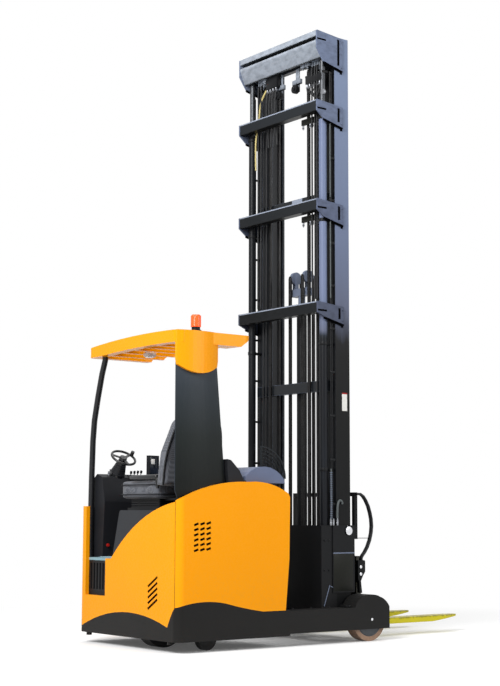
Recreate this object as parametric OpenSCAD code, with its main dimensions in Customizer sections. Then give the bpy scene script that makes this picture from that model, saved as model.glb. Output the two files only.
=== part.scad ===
// Reach truck: a warehouse lift truck with a three-stage mast that slides between two load legs.
// Built with x = 0 at the rear face, +X towards the forks, y = 0 on the centreline, z = 0 on the floor,
// then moved back by half its length so that the origin is under the middle of the whole truck.

/* [Chassis] */
// Width over the load legs and covers
overall_w = 1270; // [1180:10:1360]
// Length of the body, rear face to the front of the covers
body_l = 973; // [950:1:1000]
// Front end of the load legs
leg_tip = 1933; // [1900:1:1990]
// Gap under the chassis
ground_gap = 75; // [60:5:90]
// Thickness of covers and skirt plates
cover_t = 30; // [24:1:34]
// Radius of the rear corners
corner_r = 58; // [50:1:64]
// Height of the deck that carries the drive unit
deck_z = 360; // [355:5:370]
// Thickness of the deck
deck_t = 15; // [10:1:20]
// Height of the cab floor
floor_z = 595; // [585:1:605]
// Thickness of the cab floor
floor_t = 19; // [12:1:22]

/* [Load legs] */
// Width of a load leg
leg_w = 145; // [140:1:148]
// Underside of a load leg
leg_bottom = 90; // [85:1:95]
// Top of a load leg
leg_top = 250; // [244:1:254]
// Plate thickness of a load leg
leg_t = 16; // [12:1:18]
// Top of the wheel cover at the leg's end
hump_top = 342; // [340:1:350]

/* [Wheels] */
// Radius of the load wheels
load_r = 160; // [150:1:162]
// Width of the load wheels
load_w = 88; // [70:1:92]
// Load wheel centre, from the rear face
load_x = 1757; // [1750:1:1760]
// Thickness of the load wheel tyres
load_tyre_t = 34; // [25:1:40]
// Radius of the load wheel pins
load_pin_r = 18; // [14:1:22]
// Radius of the drive wheel
drive_r = 171; // [160:1:172]
// Width of the drive wheel
drive_w = 110; // [90:1:114]
// Drive wheel centre, from the rear face
drive_x = 232; // [225:1:245]
// Drive wheel centre, to the side
drive_y = -95; // [-110:1:-80]
// Radius of the caster wheel
caster_r = 75; // [70:1:78]
// Width of the caster wheel
caster_w = 50; // [40:1:54]
// Swivel axis of the caster, from the rear face
caster_x = 385; // [375:1:395]
// Distance from the truck's side to the swivel axis of the caster
caster_in = 157; // [153:1:185]
// Distance from the swivel axis to the caster wheel
caster_trail = 38; // [30:1:40]

/* [Mast] */
// Rear face of the mast uprights
mast_x = 1544; // [1534:1:1550]
// Depth of the mast uprights
mast_d = 140; // [130:1:144]
// Gap between the outer stage and the load legs
mast_gap = 10; // [10:1:14]
// Width of one upright
rail_w = 55; // [50:1:57]
// Step in width from stage to stage
stage_step = 60; // [60:1:62]
// Thickness of an upright's web
web_t = 16; // [12:1:18]
// Thickness of an upright's flanges
flange_t = 18; // [14:1:20]
// Underside of the outer uprights
mast_bottom = 120; // [110:1:140]
// Top of the outer uprights
mast_top = 4617; // [4560:1:4700]
// Rear face of the cross beams
beam_x = 1358; // [1350:1:1366]
// Lift of each moving stage
stage_lift = 3450; // [3200:10:3450]
// Free lift of the fork carriage
free_lift = 3300; // [3000:10:3300]
// Travel of the mast towards the body
reach_in = 340; // [300:5:345]
// Travel of the mast towards the forks
reach_out = 250; // [220:5:255]

/* [Cylinders] */
// Radius of the main lift cylinders
lift_barrel_r = 30; // [28:1:32]
// Radius of the main lift rods
lift_rod_r = 22; // [18:1:23]
// Radius of the free lift cylinder
free_barrel_r = 40; // [36:1:42]
// Radius of the free lift rod
free_rod_r = 28; // [24:1:30]
// Radial gap between a rod and its barrel
rod_gap = 0.5; // [0.3:0.1:1]

/* [Forks] */
// Length of the fork blades
fork_l = 1070; // [900:10:1200]
// Width of a fork
fork_w = 120; // [80:5:140]
// Thickness of a fork
fork_t = 45; // [35:1:50]
// Distance from the centreline to the middle of a fork
fork_y = 274; // [250:1:290]
// Top of the fork blades
fork_top = 135; // [130:1:145]
// Height of the fork shanks
fork_h = 480; // [440:10:500]
// Front face of the fork shanks
fork_face = 1918; // [1914:1:1930]

/* [Cab] */
// Underside of the overhead guard's rim
guard_bottom = 2104; // [2090:1:2120]
// Top of the overhead guard
guard_top = 2196; // [2180:1:2210]
// Length of the overhead guard
guard_l = 640; // [600:10:700]
// Width of the guard's rim
rim_w = 70; // [60:5:90]
// Number of guard bars
bar_count = 5; // [3:1:6]
// Width of a guard bar
bar_w = 26; // [20:1:34]
// Thickness of the pillar
pillar_t = 80; // [70:1:90]
// Width of the seat
seat_w = 450; // [420:5:460]
// Radius of the steering wheel
wheel_r = 100; // [90:1:120]
// Thickness of the steering wheel's rim
rim_t = 18; // [14:1:24]
// Radius of the beacon lens
beacon_r = 36; // [30:1:40]
// Radius of the guard's front tube
tube_r = 22; // [18:1:25]

/* [Hidden] */
$fn = 64;
clear = 5;
seat_gap = 0.3;
weld = 1;
half_w = overall_w / 2;
inner_w = half_w - cover_t;
overall_l = fork_face + fork_l;
seam_y = half_w - 39;
leg_inner = half_w - leg_w;
mast_y = leg_inner - mast_gap;
caster_y = caster_in - half_w;
tray_y = inner_w - 15;
hood_y = inner_w - 13;
guard_left = half_w - 70;
dash_back = inner_w - 5;
mast_front = mast_x + mast_d;
roller_x = mast_x + mast_d / 2;
roller_r = mast_d / 2 - flange_t - seat_gap;
middle_y = mast_y - stage_step;
inner_y = middle_y - stage_step;
mast_open = inner_y - rail_w;
black = "#1c1e20";
slate = "#3a4048";
yellow = "#fbae1c";
skirt_grey = "#3b3b3a";
steel = "#b9bec4";
mast_blue = "#5b6580";

// Points on the arc from a through b to c, in n steps
function arc3(a, b, c, n = 8) =
    let (d = 2 * (a.x * (b.y - c.y) + b.x * (c.y - a.y) + c.x * (a.y - b.y)),
        ux = (a * a * (b.y - c.y) + b * b * (c.y - a.y) + c * c * (a.y - b.y)) / d,
        uy = (a * a * (c.x - b.x) + b * b * (a.x - c.x) + c * c * (b.x - a.x)) / d,
        m = [ux, uy], r = norm(a - m),
        t0 = atan2(a.y - uy, a.x - ux), tb = atan2(b.y - uy, b.x - ux), t1 = atan2(c.y - uy, c.x - ux),
        ccw = (tb - t0 + 720) % 360 < (t1 - t0 + 720) % 360,
        sweep = ccw ? (t1 - t0 + 720) % 360 : (t1 - t0 + 720) % 360 - 360)
    [for (i = [0:n]) m + r * [cos(t0 + sweep * i / n), sin(t0 + sweep * i / n)]];

// Moves a piece from the truck's rear face to the frame under the middle of the truck
module placed() translate([-overall_l / 2, 0, 0]) children();

// A block from its lowest to its highest corner
module block(lo, hi) translate(lo) cube(hi - lo);

// A profile in X and Z, pushed along Y from y0 to y1
module along_y(y0, y1) translate([0, y1, 0]) rotate([90, 0, 0]) linear_extrude(y1 - y0) children();

// A profile in Y and Z, pushed along X from x0 to x1
module along_x(x0, x1) translate([x0, 0, 0]) rotate([90, 0, 90]) linear_extrude(x1 - x0) children();

// A round bar along Y
module rod_y(x, z, r, y0, y1) translate([x, y1, z]) rotate([90, 0, 0]) cylinder(r = r, h = y1 - y0);

// A ring along Y
module ring_y(x, z, r, bore, y0, y1) difference() {
    rod_y(x, z, r, y0, y1);
    rod_y(x, z, bore, y0 - 1, y1 + 1);
}

// Both sides of the truck
module both_sides() {
    children();
    mirror([0, 1, 0]) children();
}

// A round tube swept along points
function unit(v) = v / norm(v);
function run_dir(p, i) = unit(p[min(i + 1, len(p) - 1)] - p[max(i - 1, 0)]);
function side_of(d) = unit(cross(d, abs(d.z) > 0.9 ? [1, 0, 0] : [0, 0, 1]));
function turned(d, s) = unit(s - d * (s * d));
function frames(p, i = 0, s = undef) = i == len(p) ? [] :
    let (d = run_dir(p, i), a = s == undef ? side_of(d) : turned(d, s))
    concat([[a, cross(d, a)]], frames(p, i + 1, a));
module tube(p, r, sides = 10) {
    f = frames(p);
    n = len(p);
    ring = [for (i = [0:n - 1]) for (k = [0:sides - 1])
        p[i] + r * (cos(360 * k / sides) * f[i][0] + sin(360 * k / sides) * f[i][1])];
    walls = [for (i = [0:n - 2]) for (k = [0:sides - 1])
        [i * sides + k, (i + 1) * sides + k, (i + 1) * sides + (k + 1) % sides, i * sides + (k + 1) % sides]];
    first = [[for (k = [0:sides - 1]) k]];
    last = [[for (k = [sides - 1:-1:0]) (n - 1) * sides + k]];
    polyhedron(ring, concat(walls, first, last));
}

// Outline of the body seen from above, square at the front
module plan(inset = 0) intersection() {
    offset(r = corner_r - inset) offset(delta = -corner_r)
        translate([0, -half_w]) square([body_l * 2, overall_w]);
    translate([0, -half_w]) square([body_l, overall_w]);
}
module shell(z0, z1) translate([0, 0, z0]) linear_extrude(z1 - z0) difference() {
    plan();
    plan(cover_t);
    translate([body_l / 2, -inner_w]) square([body_l, 2 * inner_w]);
}

// Upper edge of the dark skirt, on the sides and at the rear
skirt_foot = 118;
skirt_tip = [119 - half_w, 170];
function side_skirt(start) = concat([[0, start]], arc3([38, 316], [170, 336], [405, 322]),
    arc3([405, 322], [570, 284], [730, 256]), [[body_l, 256]]);
right_skirt = side_skirt(302);
left_skirt = side_skirt(150);
rear_skirt = concat(arc3([-seam_y, 302], [skirt_tip.x - 27, skirt_tip.y + 54], skirt_tip, 5),
    arc3(skirt_tip + [4, 1], [-20, 246], [seam_y, skirt_foot], 12));
// Upper edge of the covers
cover_shoulder = concat(arc3([600, 1156], [864, 1123], [958, 1079], 6), [[body_l, 1053], [966, 614]]);
right_edge = concat(arc3([0, 1020], [366, 1140], [600, 1156]), cover_shoulder);
left_edge = concat(arc3([0, 987], [320, 1010], [600, 1156]), cover_shoulder);
rear_edge = arc3([-seam_y, 1012], [-43, 812], [205, 612], 10);
entry = [half_w - 357, half_w - 87];
entry_bottom = 345;
wall_edge = 987;

module side_zone(s) block([0, s > 0 ? seam_y : -half_w, 0], [body_l, s > 0 ? half_w : -seam_y, 2000]);
module rear_zone() block([0, -seam_y, 0], [body_l / 2, seam_y, 2000]);
module skirt_side(edge) along_y(-half_w, half_w) polygon(concat(edge, [[body_l, 0], [0, 0]]));
module skirt_rear() along_x(0, body_l / 2) polygon(concat(rear_skirt, [[seam_y, 0], [-seam_y, 0]]));

module skirt() intersection() {
    shell(ground_gap, 340);
    union() {
        intersection() { side_zone(1); skirt_side(left_skirt); }
        intersection() { side_zone(-1); skirt_side(right_skirt); }
        intersection() { rear_zone(); skirt_rear(); }
    }
}

rail_x0 = 600;
motor_hole = 128;
post_lo = [90, 35 - half_w, deck_z + deck_t];
pillar_z = 1014;
post_hi = [410, 105 - half_w, pillar_z - seat_gap];
reach_y = 230;
reach_z = 170;
reach_barrel_r = 38;
// Outline of a tray inside the covers, with its rear corners cut
module tray_plan(x1) polygon([[cover_t, corner_r - half_w + 4], [corner_r + 4, -inner_w], [x1, -inner_w],
    [x1, inner_w], [corner_r + 4, inner_w], [cover_t, half_w - corner_r - 4]]);
module base_frame() color(skirt_grey) placed() {
    difference() {
        union() {
            skirt();
            translate([0, 0, deck_z]) linear_extrude(deck_t) tray_plan(rail_x0);
            both_sides() block([corner_r + 4, inner_w - 12, 200], [rail_x0, inner_w, deck_z]);
            both_sides() block([corner_r + 4, inner_w - 12, 200], [rail_x0, inner_w + weld, 250]);
            block([cover_t, entry[0] - 20, 300], [cover_t + 20, entry[1] + 20, deck_z]);
            block([rail_x0 - 20, -inner_w, ground_gap + 15], [rail_x0, inner_w, deck_z]);
            block([rail_x0, -inner_w, leg_top], [body_l - 8, inner_w, leg_top + 12]);
            block(post_lo, post_hi);
            block([caster_x - 55, caster_y - 50, 190], [caster_x + 55, caster_y + 50, deck_z]);
            both_sides() translate([22, half_w - 115, ground_gap - 20]) cylinder(r = 20, h = 21);
        }
        translate([drive_x, drive_y, deck_z - 1]) cylinder(r = motor_hole, h = deck_t + 2);
        translate([caster_x, caster_y, 180]) cylinder(r = 16.3, h = 90);
        translate([rail_x0 - 30, reach_y, reach_z]) rotate([0, 90, 0]) cylinder(r = reach_barrel_r + seat_gap, h = 40);
        block([rail_x0 - 21, -leg_inner - 1, leg_bottom - 1], [rail_x0 + 1, -middle_y + 20, leg_top - 6]);
        block([rail_x0 - 21, middle_y - 20, leg_bottom - 1], [rail_x0 + 1, leg_inner + 1, leg_top - 6]);
    }
}

// One load leg: a channel for the reach rollers, then the housing of the load wheel
housing_x = 1575;
module hump(t = 0) polygon(concat([[housing_x, leg_bottom - 1], [housing_x, leg_top - t]],
    arc3([housing_x + 16 + t * 0.4, leg_top - t], [1622 + t * 0.4, 302 - t * 0.6], [1668, hump_top - t - 10], 4),
    arc3([1690, hump_top - t - 4], [1757, hump_top - t], [1826, hump_top - t - 12], 6),
    arc3([1836, hump_top - t - 18], [1888, 300 - t], [leg_tip - t * 0.7, leg_top - t], 6),
    [[leg_tip - t * 0.7, leg_bottom - 1]]));
module leg() color(skirt_grey) placed() {
    web_y = half_w - 20;
    cheek = 15;
    // Roller channel inside the body and ahead of it
    block([rail_x0, leg_inner, leg_top - leg_t], [body_l, inner_w, leg_top]);
    block([rail_x0, leg_inner, leg_bottom], [body_l, inner_w, leg_bottom + leg_t]);
    block([rail_x0, inner_w - leg_t, leg_bottom + leg_t], [body_l, inner_w, leg_top - leg_t]);
    block([body_l, leg_inner, leg_top - leg_t], [housing_x, half_w, leg_top]);
    block([body_l, leg_inner, leg_bottom], [housing_x, half_w, leg_bottom + leg_t]);
    block([body_l, web_y, leg_bottom + leg_t], [housing_x, half_w, leg_top - leg_t]);
    // Wheel housing with its two cheeks and the crown over the wheel
    intersection() {
        along_y(web_y, half_w) hump();
        block([0, 0, leg_bottom], [leg_tip, half_w, 400]);
    }
    intersection() {
        along_y(leg_inner, leg_inner + cheek) hump();
        block([0, 0, leg_bottom], [leg_tip, half_w, 400]);
    }
    difference() {
        along_y(leg_inner + cheek, web_y) hump();
        along_y(leg_inner + cheek - 1, web_y + 1) hump(11);
        block([0, 0, 0], [leg_tip + 1, half_w, leg_bottom + 60]);
        block([1700, 0, 0], [1810, half_w, load_r * 2 + clear + 2]);
    }
    rod_y(load_x, load_r, load_pin_r, leg_inner + cheek, web_y);
}
module leg_left() leg();
module leg_right() mirror([0, 1, 0]) leg();

// Rear cover with the entry cut away and five slanted slots
module rear_cover() color(yellow) placed() difference() {
    intersection() {
        shell(ground_gap, 1200);
        rear_zone();
        along_x(0, body_l / 2) polygon(concat([for (i = [len(rear_skirt) - 1:-1:0]) rear_skirt[i]], rear_edge,
            [[entry[0], 612], [entry[0], entry_bottom], [entry[1], entry_bottom], [entry[1], wall_edge],
            [seam_y, wall_edge]]));
    }
    for (i = [0:4]) along_x(-1, cover_t + 1)
        translate([-334, 316 + i * 38]) rotate(-31) translate([-68, -8.5]) square([136, 17]);
}

module cover_profile(edge, skirt) polygon(concat(edge, [[934, 256]],
    [for (i = [len(skirt) - 2:-1:0]) skirt[i]]));
module side_cover_left() color(yellow) placed() intersection() {
    shell(ground_gap, 1200);
    side_zone(1);
    along_y(0, half_w) cover_profile(left_edge, left_skirt);
}
// Right cover with its block of slanted vents
module side_cover_right() color(yellow) placed() difference() {
    intersection() {
        shell(ground_gap, 1200);
        side_zone(-1);
        along_y(-half_w, 0) cover_profile(right_edge, right_skirt);
    }
    for (row = [0:5]) for (col = [0:2]) along_y(-half_w - 1, -inner_w + 1)
        translate([152 + col * 52, 686 + row * 35 + col * 4]) rotate(18) translate([-20, -8]) square([40, 16]);
}

// Floor, riser, bulkhead
module cab_floor() color(black) placed() difference() {
    translate([0, 0, floor_z]) linear_extrude(floor_t) tray_plan(580);
    translate([drive_x, drive_y, floor_z - 1]) cylinder(r = motor_hole, h = floor_t + 2);
    block([post_lo.x - 1, -half_w, floor_z - 1], [post_hi.x + 1, post_hi.y + 1, floor_z + floor_t + 1]);
}
module step_riser() color(black) placed() difference() {
    block([cover_t, entry[0] - 20, deck_z + deck_t], [cover_t + 20, entry[1] + 20, floor_z]);
    for (i = [0:5]) block([cover_t - 1, entry[0] + 25 + i * 40, deck_z + deck_t + 12],
        [cover_t + 8, entry[0] + 45 + i * 40, floor_z - 20]);
}
module bulkhead() color(black) placed() block([580, -inner_w, deck_z + deck_t], [600, inner_w, 1165]);
module battery_block() color(slate) placed() block([rail_x0 + 4, -tray_y, leg_top + 12], [950, tray_y, 1060]);
hood_outline = concat([[600, 1150]], arc3([604, 1196], [770, 1268], [952, 1180], 8), [[960, 1150]]);
hood_t = 12;
module hood() color(mast_blue) placed() difference() {
    along_y(-hood_y, hood_y) polygon(hood_outline);
    along_y(hood_t - hood_y, hood_y - hood_t) polygon(concat([[600 + hood_t, 1149]],
        arc3([616, 1188], [770, 1254], [940, 1172], 8), [[960 - hood_t, 1149]]));
}
screen_at = [765, 1185];
module hood_screen() color(slate) placed() along_y(32 - hood_y, 40 - hood_y) difference() {
    intersection() {
        translate(screen_at) circle(r = 230);
        translate(screen_at) square(240);
    }
    for (i = [0:6]) translate(screen_at) intersection() {
        difference() {
            circle(r = 222 - i * 24);
            circle(r = 222 - i * 24 - 20);
        }
        translate([8, 8]) square(240);
    }
    offset(delta = seat_gap) polygon(hood_outline);
}
module side_console() color(black) placed() along_y(35 - half_w, 130 - half_w)
    polygon([[450, floor_z + floor_t], [579, floor_z + floor_t], [579, 1176], [545, 1236], [470, 1306], [440, 1312],
        [440, 1240], [450, 1150]]);
pedal_pitch = 150;
pedal_w = 70;
module pedals() color(slate) placed() for (x = [200, 200 + pedal_pitch]) along_x(x, x + pedal_w)
    polygon([[300, floor_z + floor_t], [390, 700], [384, 706], [290, floor_z + floor_t]]);

// Seat: pedestal, suspension, cushion and back, facing the left side of the truck
seat_x = 95;
pad_t = 120;
back_x = [seat_x - 26, seat_x + seat_w + 12];
module seat_pedestal() color(slate) placed() difference() {
    along_x(cover_t, 560) polygon(concat([[235, floor_z + floor_t], [150, 935]],
        arc3([146, 943], [140, 952], [128, 957], 3), [[135 - half_w, 957], [135 - half_w, floor_z + floor_t]]));
    along_x(cover_t + 12, 548) polygon([[205, floor_z + floor_t - 1], [128, 945], [147 - half_w, 945],
        [147 - half_w, floor_z + floor_t - 1]]);
}
module seat_suspension() color(black) placed() {
    block([seat_x + 40, -200, 957], [seat_x + seat_w - 40, 200, 975]);
    for (i = [0:3]) block([seat_x + 60, -180, 975 + i * 17], [seat_x + seat_w - 60, 180, 986 + i * 17]);
    block([seat_x + 90, -150, 975], [seat_x + seat_w - 90, 150, 1043]);
    along_x(seat_x + 100, seat_x + seat_w - 100)
        polygon([[-140, 1026], [-358, 1026], [-376, 1290], [-359.5, 1292], [-331.8, 1043], [-140, 1043]]);
}
module seat_cushion() color(black) placed() translate([seat_x, -245, 1043 + seat_gap])
    linear_extrude(pad_t) offset(r = 50) translate([50, 50]) square([seat_w - 100, 410]);
back_r = 90;
module seat_back() color(black) placed() intersection() {
    along_x(back_x[0], back_x[1]) polygon(concat(arc3([-250, 1120], [-262, 1250], [-300, 1400], 5),
        arc3([-372, 1590], [-395, 1612], [-425, 1600], 4), [[-440, 1570], [-360, 1300], [-340, 1120]]));
    along_y(-half_w, 0) offset(r = back_r) offset(delta = -back_r)
        polygon([[back_x[0], 1040], [back_x[1], 1040], [back_x[1], 1360], [back_x[1] - 56, 1620],
            [back_x[0] + 56, 1620], [back_x[0], 1360]]);
}

// Dash with the steering column, wheel and display
module dash_profile(z) polygon([[dash_back - 150, z], [dash_back - 170, 1020], [dash_back - 135, 1200],
    [dash_back - 60, 1225], [dash_back, 1180], [dash_back, z]]);
module dash_console() color(black) placed() along_x(82, 560) dash_profile(floor_z + floor_t);
wheel_at = [235, dash_back - 180, 1345];
wheel_tilt = 35;
module on_column() translate(wheel_at) rotate([wheel_tilt, 0, 0]) children();
module steering_column() color(black) placed() difference() {
    union() {
        on_column() translate([0, 0, -150]) cylinder(r1 = 55, r2 = 30, h = 130);
        block([190, dash_back - 130, 1195], [280, dash_back - 60, 1262]);
    }
    along_x(0, rail_x0) dash_profile(900);
    on_column() translate([0, 0, -60]) cylinder(r = 10.2, h = 60);
}
module steering_wheel() color(black) placed() on_column() {
    rotate_extrude() translate([wheel_r - rim_t / 2, 0]) circle(d = rim_t, $fn = 24);
    translate([0, 0, -16]) cylinder(r = 28, h = 22);
    for (a = [30, 150, 270]) rotate(a) translate([20, -9, -8]) cube([wheel_r - rim_t / 2 - 20, 18, 8]);
    rotate(20) translate([wheel_r - rim_t / 2, 0, 4]) cylinder(r = 14, h = 34);
    translate([0, 0, -58]) cylinder(r = 10, h = 43);
}
display_at = [437, 330, 1216];
module display() color(black) placed() {
    translate(display_at) rotate([0, 0, 12]) translate([-52, -15, 0]) cube([104, 30, 148]);
    block([display_at.x - 10, 320, 1100], [display_at.x + 10, 340, display_at.z + 5]);
    block([display_at.x - 30, 300, 1085], [580 - seat_gap, 360, 1101]);
}

// Pillar with a bowed outer face, seen from above between x0 and x1
pillar_out = half_w - 31;
pillar_bow = 29;
pillar_taper = 60;
module pillar_plan(x0, x1) polygon(concat(
    arc3([x0, pillar_bow - pillar_out], [(x0 + x1) / 2, -pillar_out], [x1, pillar_bow - pillar_out], 10),
    [[x1 - 12, pillar_t - pillar_out], [x0 + pillar_taper, pillar_t - pillar_out]]));
pillar_x = [8, 440, 348];
shoulder_z = 1090;
module pillar() color(slate) placed() hull() {
    translate([0, 0, pillar_z]) linear_extrude(1) pillar_plan(pillar_x[0] + 32, pillar_x[1]);
    translate([0, 0, shoulder_z]) linear_extrude(1) pillar_plan(pillar_x[0], pillar_x[1]);
    translate([0, 0, guard_bottom - 1]) linear_extrude(1) pillar_plan(pillar_x[0], pillar_x[2]);
}

// Overhead guard: a rim with bars, lower at its left edge, with a prow at the front
guard_side = half_w - 17;
guard_drop = 18;
bars_from = half_w - 195;
prow = [110, 70];
module guard_plan(inset = 0) offset(r = 60 - inset) offset(delta = -60)
    translate([0, -guard_side]) square([guard_l, guard_side + guard_left]);
module guard_bars() difference() {
    guard_plan(rim_w);
    translate([-1, -half_w]) square([guard_l, half_w - bars_from]);
    for (i = [1:bar_count])
        translate([0, i * (guard_left - rim_w + bars_from) / (bar_count + 1) - bars_from - bar_w / 2])
            square([guard_l, bar_w]);
}
// Pod that wraps the top of the pillar, from its outer edge x0 to x1
pod_x = [4, 352];
pod_low = 1896;
pod_gap = 0.9;
module pod_plan() polygon(concat(
    arc3([pod_x[0], 35 - half_w], [(pod_x[0] + pod_x[1]) / 2, 1 - half_w], [pod_x[1], 35 - half_w], 12),
    [[pod_x[1], 60 - half_w], [pod_x[0], 60 - half_w]]));
module pod_outline() polygon(concat([[pod_x[0], guard_top - 6], [pod_x[0], pod_low + 94]],
    arc3([pod_x[0] + 8, pod_low + 54], [(pod_x[0] + pod_x[1]) / 2, pod_low], [pod_x[1] - 8, pod_low + 54], 10),
    [[pod_x[1], pod_low + 94], [pod_x[1], guard_top - 6]]));
module guard_roof() color(yellow) placed() {
    intersection() {
        translate([0, 0, guard_bottom - 40]) linear_extrude(200) difference() {
            guard_plan();
            guard_bars();
        }
        along_x(-1, guard_l + 1) polygon(concat(
            arc3([-half_w, guard_top - 8], [-300, guard_top], [guard_left, guard_top - 40]),
            [[guard_left, guard_bottom - guard_drop], [380, guard_bottom - guard_drop]],
            arc3([370, guard_bottom - guard_drop + 1], [0, guard_bottom], [-half_w, guard_bottom], 6)));
        along_y(-half_w, half_w) polygon([[-1, guard_bottom - 50], [guard_l - prow[0], guard_bottom - 50],
            [guard_l - prow[0], guard_bottom - 8], [guard_l, guard_bottom + prow[1]], [guard_l, guard_top + 1],
            [-1, guard_top + 1]]);
    }
    difference() {
        intersection() {
            translate([0, 0, pod_low - 1]) linear_extrude(guard_top - pod_low) pod_plan();
            along_y(-half_w, 0) pod_outline();
        }
        translate([0, 0, pod_low - 2]) linear_extrude(guard_bottom - pod_low + 2) polygon(concat(
            [[-20, pillar_bow - pillar_out - pod_gap]],
            arc3([pillar_x[0] - 2, pillar_bow - pillar_out - pod_gap], [187, -pillar_out - pod_gap],
                [368, pillar_bow - pillar_out - pod_gap], 10),
            [[400, pillar_bow - pillar_out - pod_gap], [400, -400], [-20, -400]]));
    }
}
tube_y = half_w - 60;
module guard_tube() color(black) placed()
    tube([[64, tube_y - 155, guard_bottom - 18 - seat_gap], [64, tube_y - 155, guard_bottom - 40], [61, tube_y - 117, 1960],
        [58, tube_y - 70, 1790], [55, tube_y - 30, 1620], [55, tube_y - 13, 1470], [55, tube_y - 3, 1200],
        [55, tube_y, 1000], [55, tube_y, 700], [55, tube_y, floor_z + floor_t + seat_gap]], tube_r, 14);
beacon_at = [185, 70 - half_w];
module beacon_base() color(black) placed() translate([beacon_at.x, beacon_at.y, guard_top - 3.9]) {
    cylinder(r = beacon_r + 4, h = 8);
    translate([0, 0, 8]) cylinder(r = beacon_r - 6, h = 22);
}
module beacon_lens() color("#ff5a1f") placed() translate([beacon_at.x, beacon_at.y, guard_top + 26.1]) {
    cylinder(r = beacon_r, h = 78);
    translate([0, 0, 78]) cylinder(r1 = beacon_r, r2 = beacon_r - 8, h = 8);
}

// Drive unit: slewing flange on the deck, motor above it, gear leg beside the wheel below it
leg_gap = 8;
leg_r = 52;
unit_z = deck_z + deck_t + seat_gap;
module drive_unit() color(slate) placed() {
    side = drive_y + drive_w / 2 + leg_gap;
    translate([drive_x, drive_y, 0]) {
        translate([0, 0, unit_z]) cylinder(r = 150, h = 18);
        translate([0, 0, unit_z + 18]) cylinder(r = 100, h = 250);
        translate([0, 0, drive_r * 2 + leg_gap]) cylinder(r = motor_hole - 3, h = unit_z - drive_r * 2 - leg_gap);
    }
    rod_y(drive_x, drive_r, leg_r, side, side + 46);
    block([drive_x - leg_r, side, drive_r], [drive_x + leg_r, side + 46, drive_r * 2 + leg_gap]);
    rod_y(drive_x, drive_r, 20, drive_y - drive_w / 2, side);
}
module drive_hub() color(steel) placed()
    ring_y(drive_x, drive_r, drive_r - 42, 20.5, drive_y - drive_w / 2, drive_y + drive_w / 2);
module drive_tyre() color(black) placed()
    ring_y(drive_x, drive_r, drive_r, drive_r - 42, drive_y - drive_w / 2, drive_y + drive_w / 2);

// Caster under the right rear corner
caster_at = caster_x - caster_trail;
module caster_fork() color(slate) placed() {
    translate([caster_x, caster_y, 160]) cylinder(r = 42, h = 190 - seat_gap - 160);
    translate([caster_x, caster_y, 165]) cylinder(r = 16, h = 95);
    for (s = [-1, 1]) translate([0, caster_y + s * (caster_w / 2 + 8), 0]) along_y(-4, 4)
        polygon([[caster_at - 18, caster_r - 14], [caster_at + 16, caster_r - 14], [caster_x + 30, 161], [caster_at, 161]]);
    rod_y(caster_at, caster_r, 10, caster_y - caster_w / 2 - 5, caster_y + caster_w / 2 + 5);
}
module caster_wheel() color(black) placed()
    ring_y(caster_at, caster_r, caster_r, 10.4, caster_y - caster_w / 2, caster_y + caster_w / 2);

// Load wheels in the legs
load_y = leg_inner + 15 + (leg_w - 35) / 2;
module load_hub() color(steel) placed()
    ring_y(load_x, load_r, load_r - load_tyre_t, load_pin_r + 0.5, load_y - load_w / 2, load_y + load_w / 2);
module load_tyre() color("#c49a78") placed()
    ring_y(load_x, load_r, load_r, load_r - load_tyre_t, load_y - load_w / 2, load_y + load_w / 2);
module load_hub_left() load_hub();
module load_tyre_left() load_tyre();
module load_hub_right() mirror([0, 1, 0]) load_hub();
module load_tyre_right() mirror([0, 1, 0]) load_tyre();

// Reach carriage: arms and rollers in the legs, with the cross plate that carries the mast
arm_y = [leg_inner - 44, leg_inner - 7];
arm_z = [leg_bottom + 20, leg_top - 22];
roller_at = [1010, 1250];
plate_x = 1395;
channel_z = (leg_bottom + leg_top) / 2;
reach_roller_r = (leg_top - leg_bottom) / 2 - leg_t - 2;
cheek_x = [1502, 1716];
cheek_z = [354, 850];
tilt_cap = [1656, 810];
module reach_carriage() color(black) placed() {
    both_sides() block([950, arm_y[0], arm_z[0]], [mast_x, arm_y[1], arm_z[1]]);
    both_sides() block([plate_x, arm_y[1] - 11, arm_z[1]], [mast_x, arm_y[1], 850]);
    block([plate_x, -arm_y[1], arm_z[1]], [plate_x + 25, arm_y[1], 850]);
    block([plate_x, reach_y - 50, reach_z - 45], [plate_x + 25, reach_y + 50, arm_z[1]]);
    // Outer cheeks beside the mast's foot, above the wheel housings
    both_sides() block([cheek_x[0], arm_y[1] - weld, cheek_z[0]], [cheek_x[1], arm_y[1] + 8, cheek_z[1]]);
    both_sides() rod_y(tilt_cap.x, tilt_cap.y, 36, arm_y[1] + 8 - weld, arm_y[1] + 14);
}
module reach_rollers() color(steel) placed() both_sides() for (x = roller_at) {
    rod_y(x, channel_z, reach_roller_r, leg_inner + 12, leg_inner + 72);
    rod_y(x, channel_z, 22, arm_y[1], leg_inner + 12);
}
// Reach cylinder beside the drive unit, its barrel held in the frame's cross wall
reach_start = 400;
reach_end = plate_x - reach_in - 8;
reach_rod_r = 20;
module along_reach(x0, x1, r) translate([x0, reach_y, reach_z]) rotate([0, 90, 0]) cylinder(r = r, h = x1 - x0);
module reach_barrel() color(black) placed() difference() {
    along_reach(reach_start, reach_end, reach_barrel_r);
    along_reach(reach_start + 12, reach_end + 1, reach_rod_r + rod_gap);
}
module reach_rod() color(steel) placed() along_reach(reach_start + reach_in + 20, plate_x - seat_gap, reach_rod_r);

// One upright: a channel that opens towards the centreline
module upright(y, z0, z1) translate([0, 0, z0]) linear_extrude(z1 - z0) difference() {
    translate([mast_x, y - rail_w]) square([mast_d, rail_w]);
    translate([mast_x + flange_t, y - rail_w - 1]) square([mast_d - 2 * flange_t, rail_w - web_t + 1]);
}
// Rollers of a stage, at their heights, held in the channel outside it
stage_rollers = [260, 900];
module rollers(y, heights) for (z = heights) rod_y(roller_x, z, roller_r, y - weld, y + stage_step - web_t - clear);

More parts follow.
